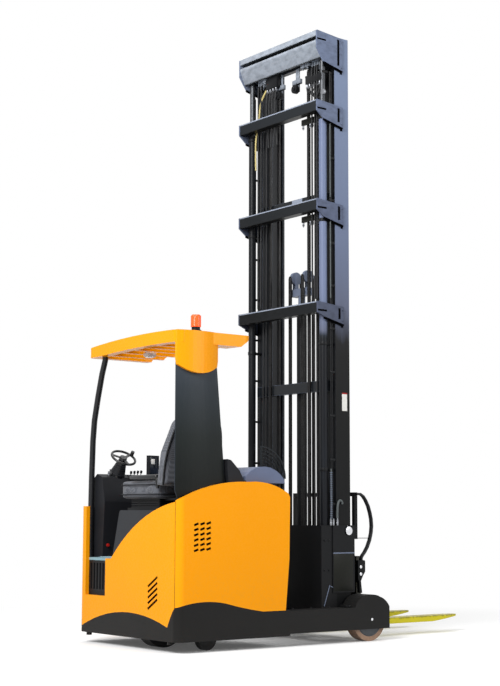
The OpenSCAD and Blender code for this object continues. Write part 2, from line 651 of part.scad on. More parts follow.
module outer_mast() color(mast_blue) placed() {
    both_sides() upright(mast_y, mast_bottom, mast_top);
}

// Cross beams behind the outer uprights, with bracket plates on their outer faces.
// Columns: top, height of the bracket, its height at the rear, height of the folded apron or 0
beam_z = [[mast_top + 15, 256, 141, 121], [mast_top - 532, 160, 85, 0], [mast_top - 1304, 155, 85, 0],
    [mast_top - 2092, 133, 85, 0]];
plate_t = 14;
beam_t = 12;
beam_h = 85;
beam_front = beam_x + 66;
split_z = [46, 76];
bracket_x = 1618;
bracket_slot = [1564, 1574];
module cross_beams() color(mast_blue) placed() {
    for (b = beam_z) {
        top = b[0];
        drop = b[1];
        both_sides() difference() {
            along_y(mast_y, mast_y + plate_t) polygon([[beam_x, top], [beam_x, top - b[2]],
                [beam_front, top - drop + 20], [bracket_x, top - drop - 25], [bracket_x, top - 25]]);
            along_y(mast_y - 1, mast_y + plate_t + 1) polygon([[bracket_slot[0], top - 36],
                [bracket_slot[1], top - 36], [bracket_slot[1], top - drop + 10], [bracket_slot[0], top - drop + 10]]);
        }
        block([beam_x, -mast_y, top - (b[3] > 0 ? split_z[0] : beam_h)], [beam_x + beam_t, mast_y, top]);
        block([beam_x + beam_t, -mast_y, top - beam_h], [beam_front, mast_y, top - beam_h + beam_t]);
        if (b[3] > 0) {
            block([beam_x + beam_t, -mast_y, top - split_z[0]], [beam_front, mast_y, top - split_z[0] + beam_t]);
            along_y(-mast_y, mast_y) polygon([[beam_x, top - split_z[1]], [beam_x + beam_t, top - split_z[1]],
                [beam_x + beam_t, top - beam_h], [beam_x + 60, top - beam_h - b[3]],
                [beam_x + 60 - beam_t, top - beam_h - b[3]], [beam_x, top - beam_h - 6]]);
        }
    }
}

// Main lift cylinders behind the outer uprights
lift_at = [1458, mast_y - 40];
lift_foot = arm_z[1] + seat_gap;
lift_barrel_top = mast_top - 637;
module lift_barrels() color(black) placed() both_sides() difference() {
    translate([lift_at.x, lift_at.y, lift_foot]) cylinder(r = lift_barrel_r, h = lift_barrel_top - lift_foot);
    translate([lift_at.x, lift_at.y, lift_foot + 20]) cylinder(r = lift_rod_r + rod_gap, h = lift_barrel_top);
}
head_z = [mast_top - 177, mast_top - 117];
module lift_rods() color(steel) placed() both_sides()
    translate([lift_at.x, lift_at.y, lift_foot + 40]) cylinder(r = lift_rod_r, h = head_z[0] - lift_foot - 40);

// Middle stage with its head beam over the lift rods and its cross members
member_x = [1496, mast_x - clear];
module middle_mast() color(mast_blue) placed() {
    both_sides() upright(middle_y, mast_bottom, mast_top - 12);
    both_sides() rollers(middle_y, stage_rollers);
    for (z = [[200, 320], [1860, 1940], [mast_top - 1327, mast_top - 1227], [head_z[0], head_z[1]]]) {
        block([member_x[0], -middle_y, z[0]], [member_x[1], middle_y, z[1]]);
        both_sides() block([member_x[1], middle_y - rail_w, z[0]], [mast_x, middle_y, z[1]]);
    }
    both_sides() block([lift_at.x - 26, lift_at.y - 40, head_z[0]], [member_x[0], lift_at.y + 28, head_z[1]]);
    both_sides() block([member_x[0], middle_y, head_z[0]], [member_x[1], lift_at.y + 28, head_z[1]]);
    both_sides() for (y = [chain_y - 28, chain_y + 16 + seat_gap])
        block([chain_x - 25, y, pulley_z - 20], [member_x[1], y + 12 - seat_gap, head_z[0]]);
}
// Chains of the inner stage over their pulleys
chain_y = inner_y - 120;
chain_x = 1530;
chain_z = 420;
pulley_z = head_z[0] - 55;
pulley_r = 38;
module chain_bar(x, y, z0, z1) block([x - 6, y - 12, z0], [x + 6, y + 12, z1]);
module lift_chains() color(slate) placed() both_sides() {
    rod_y(chain_x, pulley_z, pulley_r, chain_y - 16, chain_y + 16);
    chain_bar(chain_x - pulley_r - 6, chain_y, chain_z, pulley_z);
    chain_bar(chain_x + pulley_r + 6, chain_y, chain_z, pulley_z);
}

module inner_mast() color(mast_blue) placed() {
    both_sides() upright(inner_y, mast_bottom, mast_top - 24);
    both_sides() rollers(inner_y, stage_rollers);
    block([mast_x, -mast_open, 150], [mast_x + 14, mast_open, 300]);
    block([mast_x + 14, -70, free_foot - 20], [mast_x + 110, 70, free_foot]);
    block([mast_x, -mast_open, head_z[1]], [mast_x + 14, mast_open, head_z[1] + 90]);
}

// Free lift cylinder with its crosshead and chains
free_x = 1612;
free_top = mast_top - 2057;
free_foot = 170;
module free_barrel() color(black) placed() difference() {
    translate([free_x, 0, free_foot]) cylinder(r = free_barrel_r, h = free_top - free_foot);
    translate([free_x, 0, free_foot + 20]) cylinder(r = free_rod_r + rod_gap, h = free_top);
}
head_y = 75;
head_bar = [free_top + 80, free_top + 140];
head_axle = head_bar[1] + 90;
head_pulley_r = 50;
module free_head() color(slate) placed() {
    translate([free_x, 0, free_foot + 45]) cylinder(r = free_rod_r, h = head_bar[0] - free_foot - 45);
    block([free_x - 32, -head_y - 22, head_bar[0]], [free_x + 32, head_y + 22, head_bar[1]]);
    both_sides() {
        rod_y(free_x, head_axle, head_pulley_r, head_y - 14, head_y + 14);
        block([free_x - 14, head_y + 14, head_bar[1]], [free_x + 14, head_y + 22, head_axle + 40]);
        block([free_x - 14, head_y - 22, head_bar[1]], [free_x + 14, head_y - 14, head_axle + 40]);
    }
}
module free_chains() color(slate) placed() both_sides() {
    chain_bar(free_x - head_pulley_r - 6, head_y, chain_z, head_axle);
    chain_bar(free_x + head_pulley_r + 6, head_y, 700, head_axle);
}

// Lift carriage in the inner stage, with the bar that carries the tilt frame
side_plate = [mast_open - 30, mast_open - clear];
carriage_x = [1590, 1712, 1740];
tilt_at = [1765, 600];
tilt_y = side_plate[1] - 64;
tilt_pin_r = 18;
module lift_carriage() color(black) placed() {
    both_sides() block([carriage_x[0], side_plate[0], 150], [carriage_x[1], side_plate[1], 640]);
    both_sides() for (z = [230, 560]) rod_y(roller_x, z, roller_r, side_plate[1] - weld, inner_y - web_t - clear);
    block([carriage_x[1], -side_plate[1], 150], [carriage_x[2], side_plate[1], 230]);
    block([carriage_x[1], -side_plate[1], 540], [carriage_x[2], side_plate[1], 640]);
    both_sides() block([carriage_x[1], tilt_y - 56, 230], [carriage_x[2], tilt_y - 6, 540]);
    both_sides() difference() {
        union() {
            block([carriage_x[2], tilt_y, tilt_at.y - 30], [tilt_at.x, tilt_y + 20, tilt_at.y + 30]);
            rod_y(tilt_at.x, tilt_at.y, 30, tilt_y, tilt_y + 20);
        }
        rod_y(tilt_at.x, tilt_at.y, tilt_pin_r + seat_gap, tilt_y - 36, tilt_y + 64);
    }
}
tilt_frame_x = [1766, 1800];
module tilt_frame() color(black) placed() {
    both_sides() {
        rod_y(tilt_at.x, tilt_at.y, tilt_pin_r, tilt_y - 11, tilt_y + 26);
        rod_y(tilt_at.x, tilt_at.y, 24, tilt_y - 56, tilt_y - 5);
        rod_y(tilt_at.x, tilt_at.y, 24, tilt_y + 25, tilt_y + 49);
    }
    difference() {
        block([tilt_frame_x[0], -tilt_y - 49, 140], [tilt_frame_x[1], tilt_y + 49, 640]);
        block([tilt_frame_x[0] - 6, 66 - tilt_y, 200], [tilt_frame_x[1] + 10, tilt_y - 66, 560]);
        both_sides() block([tilt_frame_x[0] - 6, tilt_y - 7, 550], [tilt_frame_x[1] + 12, tilt_y + 27, 650]);
    }
}
shift_x = tilt_frame_x[1] + 0.5;
// Two hoses side by side, looped from the backrest's post down to a bracket on the fork bars
hose_r = 9;
hose_y = [-370 - hose_r - seat_gap, -370 - 3 * hose_r - 3 * seat_gap];
bracket_top = 586;
module fork_carriage() color(black) placed() {
    for (z = [[150, 226], [480, 556]]) block([shift_x + 20, -380, z[0]], [fork_face - fork_t - 0.3, 380, z[1]]);
    for (y = [-300, 0, 300]) block([shift_x, y - 20, 150], [shift_x + 20, y + 20, 556]);
    difference() {
        along_y(hose_y[1] - hose_r - 2, weld - 380) polygon([[1834, 420], [1840, 340], [1864, 340], [1852, 430],
            [1874, 470], [1896, 500], [1896, 578], [1888, bracket_top], [1824, bracket_top], [1824, 450]]);
        for (z = [482, 536]) rod_y(1852, z, 15, -half_w, -370);
    }
}
rest_x = [shift_x + 24, shift_x + 54];
rest_z = [745, 1100];
bar_top = 556;
module load_backrest() color(black) placed() {
    both_sides() block([rest_x[0], 340, rest_z[0]], [rest_x[1], 370, rest_z[1]]);
    for (z = [rest_z[0], rest_z[1] - 30]) block([rest_x[0], -341, z], [rest_x[1], 341, z + 30]);
    both_sides() block([rest_x[0], 200, bar_top], [rest_x[1], 236, rest_z[0] + weld]);
    for (i = [-2:2]) block([rest_x[0] + 6, i * 110 - 6, abs(i) < 2 ? bar_top : rest_z[0]],
        [rest_x[0] + 18, i * 110 + 6, rest_z[1] - 1]);
}
module fork() color("#d6c61a") placed() intersection() {
    along_y(fork_y - fork_w / 2, fork_y + fork_w / 2) polygon(concat([[fork_face - fork_t, fork_top + fork_h]],
        arc3([fork_face - fork_t, 130], [fork_face - 30, 102], [fork_face, fork_top - fork_t], 4),
        [[overall_l - 300, fork_top - fork_t], [overall_l, fork_top - 12], [overall_l, fork_top]],
        arc3([fork_face + 20, fork_top], [fork_face + 6, fork_top + 6], [fork_face, fork_top + 20], 4),
        [[fork_face, fork_top + fork_h]]));
    linear_extrude(fork_top + fork_h) polygon(concat(
        [[fork_face - fork_t - 1, fork_y - fork_w / 2], [overall_l - 160, fork_y - fork_w / 2]],
        arc3([overall_l - 40, fork_y - 40], [overall_l, fork_y], [overall_l - 40, fork_y + 40], 8),
        [[overall_l - 160, fork_y + fork_w / 2], [fork_face - fork_t - 1, fork_y + fork_w / 2]]));
}
module fork_left() fork();
module fork_right() mirror([0, 1, 0]) fork();
module hose_loop(y) tube([[1834, y, 1086], [1862, y, 1088], [1892, y, 1072], [1918, y, 1042], [1946, y, 995],
    [1964, y, 945], [1976, y, 895], [1980, y, 842], [1974, y, 790], [1958, y, 735], [1934, y, 685],
    [1906, y, 645], [1880, y, 618], [1870, y, 602], [1870, y, bracket_top + 8], [1870, y, bracket_top + seat_gap]],
    hose_r, 8);
module carriage_hoses() color(black) placed() for (y = hose_y) hose_loop(y);

base_frame();
leg_left();
leg_right();
rear_cover();
side_cover_left();
side_cover_right();
cab_floor();
step_riser();
bulkhead();
battery_block();
hood();
hood_screen();
side_console();
pedals();
seat_pedestal();
seat_suspension();
seat_cushion();
seat_back();
dash_console();
steering_column();
steering_wheel();
display();
pillar();
guard_roof();
guard_tube();
beacon_base();
beacon_lens();
drive_unit();
drive_hub();
drive_tyre();
caster_fork();
caster_wheel();
load_hub_left();
load_tyre_left();
load_hub_right();
load_tyre_right();
reach_carriage();
reach_rollers();
reach_barrel();
reach_rod();
outer_mast();
cross_beams();
lift_barrels();
middle_mast();
lift_rods();
lift_chains();
inner_mast();
free_barrel();
free_head();
free_chains();
lift_carriage();
tilt_frame();
fork_carriage();
load_backrest();
fork_left();
fork_right();
carriage_hoses();
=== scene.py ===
"""Reach truck: finishes, seat, hoses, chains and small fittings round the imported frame."""

import math
from functools import partial

import bmesh
import bpy
from mathutils import Euler, Matrix, Vector


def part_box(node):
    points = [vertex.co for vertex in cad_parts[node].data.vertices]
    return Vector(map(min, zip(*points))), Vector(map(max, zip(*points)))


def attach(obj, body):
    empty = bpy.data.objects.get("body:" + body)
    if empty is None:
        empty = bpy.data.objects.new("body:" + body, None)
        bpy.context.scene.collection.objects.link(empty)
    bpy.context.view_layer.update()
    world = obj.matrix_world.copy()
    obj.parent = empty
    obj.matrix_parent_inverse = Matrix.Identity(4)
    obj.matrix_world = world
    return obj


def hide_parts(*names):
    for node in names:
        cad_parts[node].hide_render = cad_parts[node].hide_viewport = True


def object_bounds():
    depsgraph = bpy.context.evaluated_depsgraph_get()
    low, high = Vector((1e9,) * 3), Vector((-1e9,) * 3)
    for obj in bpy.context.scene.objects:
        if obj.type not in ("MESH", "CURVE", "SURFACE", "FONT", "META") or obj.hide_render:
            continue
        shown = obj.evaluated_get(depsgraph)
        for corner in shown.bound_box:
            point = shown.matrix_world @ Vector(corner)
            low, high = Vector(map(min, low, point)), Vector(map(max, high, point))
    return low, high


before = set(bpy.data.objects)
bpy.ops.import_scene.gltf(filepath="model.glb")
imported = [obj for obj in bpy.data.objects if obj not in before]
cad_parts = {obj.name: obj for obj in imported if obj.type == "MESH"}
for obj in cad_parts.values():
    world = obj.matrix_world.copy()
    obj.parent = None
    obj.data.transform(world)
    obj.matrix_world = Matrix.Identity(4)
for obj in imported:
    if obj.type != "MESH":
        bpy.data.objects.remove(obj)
BOX_LO, BOX_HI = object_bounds()

bl_info = {
    "name": "Reach truck",
    "version": (1, 0, 0),
    "blender": (4, 5, 0),
    "location": "3D View > Sidebar > Reach truck",
    "description": "Dresses a reach truck with a three-stage mast",
    "category": "Object",
}

# Every place and size below is in millimetres, unless it says otherwise
MM = 0.001
# The truck's rear face, from which places along it are counted
REAR = BOX_LO.x / MM


def at(x, y, z):
    """A place in millimetres from the rear face, the centreline and the floor, in the frame's metres."""
    return Vector((BOX_LO.x + x * MM, y * MM, z * MM))


def linear(hex_colour):
    """An sRGB hex colour as linear RGBA."""
    parts = [int(hex_colour[i : i + 2], 16) / 255 for i in (1, 3, 5)]
    return [c / 12.92 if c <= 0.04045 else ((c + 0.055) / 1.055) ** 2.4 for c in parts] + [1.0]


# Output and settings of a Mix node that mixes two colours, its inputs 6 and 7
RGBA = {"out": 2, "data_type": "RGBA"}


def add_node(tree, kind, inputs=None, out=0, stops=(), **settings):
    """Adds a shader node, links or sets its inputs, hex colours too, and returns an output or the node."""
    node = tree.nodes.new("ShaderNode" + kind)
    for name, value in settings.items():
        setattr(node, name, value)
    for key, value in (inputs or {}).items():
        if isinstance(value, bpy.types.NodeSocket):
            tree.links.new(value, node.inputs[key])
        else:
            node.inputs[key].default_value = linear(value) if isinstance(value, str) else value
    while stops and len(node.color_ramp.elements) < len(stops):
        node.color_ramp.elements.new(0.5)
    for number, (place, tone) in enumerate(stops):
        node.color_ramp.elements[number].position = place
        colour = linear(tone) if isinstance(tone, str) else (tone, tone, tone, 1)
        node.color_ramp.elements[number].color = colour
    return node if out is None else node.outputs[out]


def new_material(name, gloss=0.3):
    """A material with its node adder, its surface shader and object coordinates."""
    material = bpy.data.materials.new(name)
    material.use_nodes = True
    material.node_tree.nodes.clear()
    add = partial(add_node, material.node_tree)
    shader = add("BsdfPrincipled", {"Specular IOR Level": gloss}, out=None)
    add("OutputMaterial", {"Surface": shader.outputs["BSDF"]}, out=None)
    return material, add, shader, add("TexCoord", out="Object")


def lay_surface(add, shader, tone, rough, relief, depth_mm, strength=0.5):
    """Gives the shader its tone, its roughness and a relief of depth_mm."""
    normal = add("Bump", {"Height": relief, "Strength": strength, "Distance": depth_mm * MM})
    for key, value in (("Base Color", tone), ("Roughness", rough), ("Normal", normal)):
        if isinstance(value, float):
            shader.inputs[key].default_value = value
        else:
            shader.id_data.links.new(value, shader.inputs[key])


def blotches(add, coords, size_mm, detail=3.0, rough=0.55, stretch=(1, 1, 1)):
    """Cloudy patches about size_mm across."""
    spot = add("Mapping", {"Vector": coords, "Scale": stretch})
    grain = {"Vector": spot, "Scale": 1.0 / (size_mm * MM), "Detail": detail, "Roughness": rough}
    return add("TexNoise", grain)


def height_factor(add, coords, z_low, z_high):
    """0 at z_low and 1 at z_high, in millimetres above the floor."""
    z = add("SeparateXYZ", {"Vector": coords}, out="Z")
    return add("MapRange", {"Value": z, "From Min": z_low * MM, "From Max": z_high * MM})


def side_factor(add, coords, y_low, y_high):
    """0 nearer the centreline than y_low and 1 past y_high, in millimetres to either side."""
    y = add("SeparateXYZ", {"Vector": coords}, out="Y")
    away = add("Math", {0: y}, operation="ABSOLUTE")
    return add("MapRange", {"Value": away, "From Min": y_low * MM, "From Max": y_high * MM})


def edge_wear(add, width_mm):
    """1 along sharp edges and 0 on the faces, by comparing a rounded normal with the true one."""
    soft = add("Bevel", {"Radius": width_mm * MM}, samples=4)
    hard = add("NewGeometry", out="Normal")
    match = add("VectorMath", {0: soft, 1: hard}, out="Value", operation="DOT_PRODUCT")
    return add("ValToRGB", {"Fac": match}, stops=[(0.80, 1.0), (0.97, 0.0)])


def painted_steel(name, colour, shade, rough=0.42, grain_mm=2.0, dust=0.1, chip="#4A4A49", gloss=0.12):
    """Two-coat enamel on steel plate: a faint orange peel, scuffs, rubbed edges and dust low down."""
    material, add, shader, coords = new_material(name, gloss)
    tone = add("Mix", {0: blotches(add, coords, 320, 4), 6: colour, 7: shade}, **RGBA)
    patches = blotches(add, coords, 90, 6, 0.7, (1, 1, 3))
    scuff = add("ValToRGB", {"Fac": patches}, stops=[(0.56, 0.0), (0.74, 1.0)])
    low = add("ValToRGB", {"Fac": height_factor(add, coords, 0, 500)}, stops=[(0.0, dust), (1.0, 0.0)])
    dusty = add("Mix", {0: low, 6: tone, 7: "#5E584F"}, **RGBA)
    rubbed = add("Math", {0: edge_wear(add, 3), 1: scuff}, operation="MULTIPLY")
    paint = add("Mix", {0: rubbed, 6: dusty, 7: chip}, **RGBA)
    worn = add("MapRange", {"Value": scuff, "To Min": rough, "To Max": rough + 0.16})
    shader.inputs["IOR"].default_value = 1.5
    lay_surface(add, shader, paint, worn, blotches(add, coords, grain_mm, 2), 0.12)
    return material


def cover_paint(colour):
    """Moulded glass-fibre covers with a warm yellow gel coat: glossy, with soft waves and fine swirls."""
    material, add, shader, coords = new_material("Gel.coat.yellow", 0.1)
    tone = add("Mix", {0: blotches(add, coords, 500, 3), 6: colour, 7: "#F69B06"}, **RGBA)
    swirl = add("ValToRGB", {"Fac": blotches(add, coords, 14, 8, 0.75)}, stops=[(0.48, 0.0), (0.72, 1.0)])
    low = add("ValToRGB", {"Fac": height_factor(add, coords, 300, 700)}, stops=[(0.0, 0.18), (1.0, 0.0)])
    grime = add("Math", {0: low, 1: swirl}, operation="MULTIPLY")
    gel = add("Mix", {0: grime, 6: tone, 7: "#8A6A2A"}, **RGBA)
    worn = add("MapRange", {"Value": swirl, "To Min": 0.26, "To Max": 0.40})
    shader.inputs["IOR"].default_value = 1.5
    shader.inputs["Coat Weight"].default_value = 0.06
    shader.inputs["Coat Roughness"].default_value = 0.10
    lay_surface(add, shader, gel, worn, blotches(add, coords, 160, 2), 0.6, 0.35)
    return material


def moulded_plastic(name, colour, shade, rough=0.55):
    """Injection-moulded ABS: an even matt skin with a leather grain, of another shade where it is rubbed."""
    material, add, shader, coords = new_material(name, 0.15)
    tone = add("Mix", {0: blotches(add, coords, 180, 4), 6: colour, 7: shade}, **RGBA)
    grain = add("TexVoronoi", {"Vector": coords, "Scale": 1 / (1.6 * MM)}, out="Distance")
    rub = add("Mix", {0: edge_wear(add, 4), 6: tone, 7: shade}, **RGBA)
    patches = blotches(add, coords, 60, 4)
    worn = add("MapRange", {"Value": patches, "To Min": rough - 0.08, "To Max": rough + 0.1})
    shader.inputs["IOR"].default_value = 1.49
    lay_surface(add, shader, rub, worn, grain, 0.15)
    return material


def mast_paint(name, inner, low_tone, mid_tone, high_tone, z_dark, z_pale):
    """Blue-grey enamel with painted light and shade, pale up high and near black lower down: on rails, with
    another tone inside, or on the two cylinders when inner is None, where the left one gets painted shade,
    dark all over."""
    material, add, shader, coords = new_material(name, 0.14)
    streak = blotches(add, coords, 45, 5, 0.6, (1, 1, 0.12))
    ragged = add("MapRange", {"Value": streak, "To Min": -0.04, "To Max": 0.04})
    # Painted light and shade: near black low down to pale blue-grey up high, as the light falls on the mast
    rise = add("Math", {0: height_factor(add, coords, z_dark, z_pale), 1: ragged}, operation="ADD")
    stops = [(0.0, low_tone), (0.05, mid_tone), (0.14, "#5C6276"), (0.4, "#6A7590"), (1.0, high_tone)]
    painted_light_outside = add("ValToRGB", {"Fac": rise}, stops=stops)
    if inner:
        tone = add("Mix", {0: side_factor(add, coords, 477.5, 479.5), 6: inner, 7: painted_light_outside}, **RGBA)
    else:
        # Painted shade: the left cylinder, at y above 0, takes the dark low tone all over
        y = add("SeparateXYZ", {"Vector": coords}, out="Y")
        left = add("Math", {0: y, 1: 0.0}, operation="GREATER_THAN")
        tone = add("Mix", {0: left, 6: painted_light_outside, 7: low_tone}, **RGBA)
    rubs = add("ValToRGB", {"Fac": blotches(add, coords, 30, 5)}, stops=[(0.4, 0.0), (0.7, 0.6)])
    bare = add("Math", {0: edge_wear(add, 2.5), 1: rubs}, operation="MULTIPLY")
    paint = add("Mix", {0: bare, 6: tone, 7: "#6C7078"}, **RGBA)
    worn = add("MapRange", {"Value": streak, "To Min": 0.30, "To Max": 0.48})
    lay_surface(add, shader, paint, worn, blotches(add, coords, 3, 3), 0.10)
    return material


def pillar_paint():
    """Satin enamel on the folded pillar, with painted light and shade: slate up under the roof, near black
    towards its foot, and a painted highlight along its edges.
    """
    material, add, shader, coords = new_material("Satin.enamel.on.pillar", 0.14)
    # Painted light and shade: lighter slate up high, near black towards the foot
    ragged = add("MapRange", {"Value": blotches(add, coords, 220, 4), "To Min": -0.08, "To Max": 0.08})
    rise = add("Math", {0: height_factor(add, coords, 1150, 2050), 1: ragged}, operation="ADD")
    stops = [(0.0, "#111413"), (0.35, "#1B2020"), (0.75, "#2F353B"), (1.0, "#414953")]
    tone = add("ValToRGB", {"Fac": rise}, stops=stops)
    # Painted highlight: a paler slate along the edges
    paint = add("Mix", {0: edge_wear(add, 8), 6: tone, 7: "#3F4650"}, **RGBA)
    lay_surface(add, shader, paint, 0.36, blotches(add, coords, 2.2, 2), 0.12)
    return material


def greased_steel():
    """Rolled rails under a film of black grease, with a painted highlight: pale bluish glints along their
    edges.
    """
    material, add, shader, coords = new_material("Greased.rolled.steel", 0.22)
    streak = blotches(add, coords, 30, 5, 0.6, (1, 1, 0.05))
    tone = add("Mix", {0: streak, 6: "#101316", 7: "#1B1F24"}, **RGBA)
    # Painted highlight: pale bluish glints along the edges, in streaks
    glint_streaks = blotches(add, coords, 40, 3, 0.5, (1, 1, 0.08))
    glint_strength = add("ValToRGB", {"Fac": glint_streaks}, stops=[(0.35, 0.15), (0.6, 0.9)])
    edge_glint = add("Math", {0: edge_wear(add, 5), 1: glint_strength}, operation="MULTIPLY")
    metal = add("Mix", {0: edge_glint, 6: tone, 7: "#76809A"}, **RGBA)
    worn = add("MapRange", {"Value": streak, "To Min": 0.24, "To Max": 0.42})
    lay_surface(add, shader, metal, worn, streak, 0.15)
    return material


def beam_paint():
    """Cross beams in blue-grey enamel with painted light and shade: pale at the top, near black lower down,
    darker underneath, paler to the right up high, and lighter side plates.
    """
    material, add, shader, coords = new_material("Enamel.on.folded.plate", 0.1)
    # Painted light and shade: rear faces near black low down and pale at the top beam
    rise = height_factor(add, coords, 2300, 4700)
    stops = [(0.0, "#060708"), (0.14, "#08090A"), (0.36, "#121518"), (0.55, "#15181C"), (0.78, "#1A1E22"),
             (0.90, "#A9B1BD")]
    painted_light_by_height = add("ValToRGB", {"Fac": rise}, stops=stops)
    # Painted light: high up, the faces turn paler towards the right, at -y
    y = add("SeparateXYZ", {"Vector": coords}, out="Y")
    painted_light_rightward = add("MapRange", {"Value": y, "From Min": 0.35, "From Max": -0.45, "To Max": 0.45})
    pale = add("Mix", {0: painted_light_rightward, 6: painted_light_by_height, 7: "#A2ACB8"}, **RGBA)
    high = add("ValToRGB", {"Fac": rise}, stops=[(0.78, 0.04), (0.90, 1.0)])
    face = add("Mix", {0: high, 6: painted_light_by_height, 7: pale}, **RGBA)
    # Painted shade: faces turned downwards are darkened
    soft = add("Bevel", {"Radius": 20 * MM}, samples=6)
    up = add("SeparateXYZ", {"Vector": soft}, out="Z")
    down = add("Math", {0: up, 1: -1.0}, operation="MULTIPLY")
    painted_shade_under = add("ValToRGB", {"Fac": down}, stops=[(0.3, 0.0), (0.7, 1.0)])
    inner = add("Mix", {0: painted_shade_under, 6: face, 7: "#121313"}, **RGBA)
    # Painted light: the side plates take a blue-grey lighter than the faces between them, paler up high
    outer = add("ValToRGB", {"Fac": rise}, stops=[(0.0, "#4C5264"), (0.35, "#59627A"), (1.0, "#74809A")])
    tone = add("Mix", {0: side_factor(add, coords, 478, 481), 6: inner, 7: outer}, **RGBA)
    smudge = blotches(add, coords, 60, 5, 0.6, (1, 1, 2))
    smear = add("ValToRGB", {"Fac": smudge}, stops=[(0.40, 0.0), (0.70, 0.35)])
    paint = add("Mix", {0: smear, 6: tone, 7: "#202225"}, **RGBA)
    worn = add("MapRange", {"Value": smear, "To Min": 0.32, "To Max": 0.46})
    lay_surface(add, shader, paint, worn, blotches(add, coords, 3, 3), 0.10)
    return material


def bright_metal(name, colour, rough, lines_mm=0.8, stretch=(1, 1, 0.04), shade="#8B8D92"):
    """Bare or hard-chromed steel with fine drawn or ground lines."""
    material, add, shader, coords = new_material(name)
    lines = blotches(add, coords, lines_mm, 3, 0.6, stretch)
    tone = add("Mix", {0: blotches(add, coords, 70, 3), 6: colour, 7: shade}, **RGBA)
    worn = add("MapRange", {"Value": lines, "To Min": rough - 0.06, "To Max": rough + 0.10})
    shader.inputs["Metallic"].default_value = 1.0
    lay_surface(add, shader, tone, worn, lines, 0.04, 0.4)
    return material


def fork_paint(colour):
    """Forged forks in yellow enamel along the blades, worn to oily dark steel up the shanks."""
    material, add, shader, coords = new_material("Chipped.enamel.yellow", 0.3)
    ragged = add("MapRange", {"Value": blotches(add, coords, 25, 5), "To Min": -0.3, "To Max": 0.3})
    rise = add("Math", {0: height_factor(add, coords, 95, 175), 1: ragged}, operation="ADD")
    yellow = add("Mix", {0: blotches(add, coords, 120, 4), 6: colour, 7: "#C9BB16"}, **RGBA)
    shank = add("ValToRGB", {"Fac": rise}, stops=[(0.35, 0.0), (0.65, 1.0)])
    tone = add("Mix", {0: shank, 6: yellow, 7: "#2B2B23"}, **RGBA)
    paint = add("Mix", {0: edge_wear(add, 3), 6: tone, 7: "#6A6647"}, **RGBA)
    worn = add("MapRange", {"Value": shank, "To Min": 0.34, "To Max": 0.42})
    lay_surface(add, shader, paint, worn, blotches(add, coords, 2.2, 2), 0.12)
    return material


def tyre_compound(name, colour, shade, rough, dirt):
    """Cast polyurethane or pressed-on rubber: matt, with fine rolling marks and trodden-in dirt."""
    material, add, shader, coords = new_material(name)
    patch = add("ValToRGB", {"Fac": blotches(add, coords, 26, 5, 0.65)}, stops=[(0.42, 0.0), (0.68, 1.0)])
    dirty = add("Math", {0: patch, 1: dirt}, operation="MULTIPLY")
    tone = add("Mix", {0: blotches(add, coords, 90, 3), 6: colour, 7: shade}, **RGBA)
    rubber = add("Mix", {0: dirty, 6: tone, 7: "#2B2723"}, **RGBA)
    worn = add("MapRange", {"Value": patch, "To Min": rough - 0.08, "To Max": rough + 0.08})
    lay_surface(add, shader, rubber, worn, blotches(add, coords, 1.4, 4, 0.7), 0.2, 0.6)
    return material


def seat_cloth(colour):
    """Woven polyester over foam: 2 mm ribs drawn coarse enough to show, with a soft sheen."""
    material, add, shader, coords = new_material("Woven.polyester.grey")
    thread = {"Vector": coords, "Scale": 1 / (12 * MM), "Distortion": 0.6, "Detail": 2.0}
    warp, weft = (add("TexWave", thread, out="Fac", bands_direction=way) for way in "XY")
    weave = add("Math", {0: warp, 1: weft}, operation="MULTIPLY")
    tone = add("Mix", {0: blotches(add, coords, 70, 4), 6: colour, 7: "#3C3F46"}, **RGBA)
    cloth = add("Mix", {0: weave, 6: tone, 7: "#74777F"}, **RGBA)
    shader.inputs["Sheen Weight"].default_value = 0.25
    lay_surface(add, shader, cloth, 0.86, weave, 0.5, 0.6)
    return material


def rubber_mat():
    """Ribbed rubber in blue-grey: matt, and paler along its ribs, where boots scuff it."""
    material, add, shader, coords = new_material("Ribbed.rubber")
    ribs = add("TexWave", {"Vector": coords, "Scale": 1 / (50 * MM)}, out="Fac", bands_direction="X")
    tone = add("Mix", {0: blotches(add, coords, 60, 5), 6: "#86A0AA", 7: "#66808A"}, **RGBA)
    lay_surface(add, shader, add("Mix", {0: ribs, 6: tone, 7: "#A3BEC8"}, **RGBA), 0.7, ribs, 1.0, 0.6)
    return material


def hose_rubber(name, colour, shade):
    """Two-braid hydraulic hose: matt rubber with a faint wrapped-cloth texture."""
    material, add, shader, coords = new_material(name)
    tone = add("Mix", {0: blotches(add, coords, 40, 4), 6: colour, 7: shade}, **RGBA)
    lay_surface(add, shader, tone, 0.5, blotches(add, coords, 1.5, 3), 0.15)
    return material


def beacon_plastic():
    """Orange polycarbonate lens: clear and glossy, with a painted glow, a little light given off though no
    lamp is lit.
    """
    material, add, shader, coords = new_material("Polycarbonate.orange")
    ribs = add("TexWave", {"Vector": coords, "Scale": 1 / (26 * MM)}, out="Fac", bands_direction="Z")
    shader.inputs["IOR"].default_value = 1.58
    shader.inputs["Transmission Weight"].default_value = 0.25
    # Painted glow: the lens emits a little orange light
    shader.inputs["Emission Color"].default_value = linear("#FF4A10")
    shader.inputs["Emission Strength"].default_value = 0.35
    lay_surface(add, shader, add("Mix", {0: ribs, 6: "#FF5216", 7: "#FF7A2E"}, **RGBA), 0.18, ribs, 0.8, 0.6)
    return material


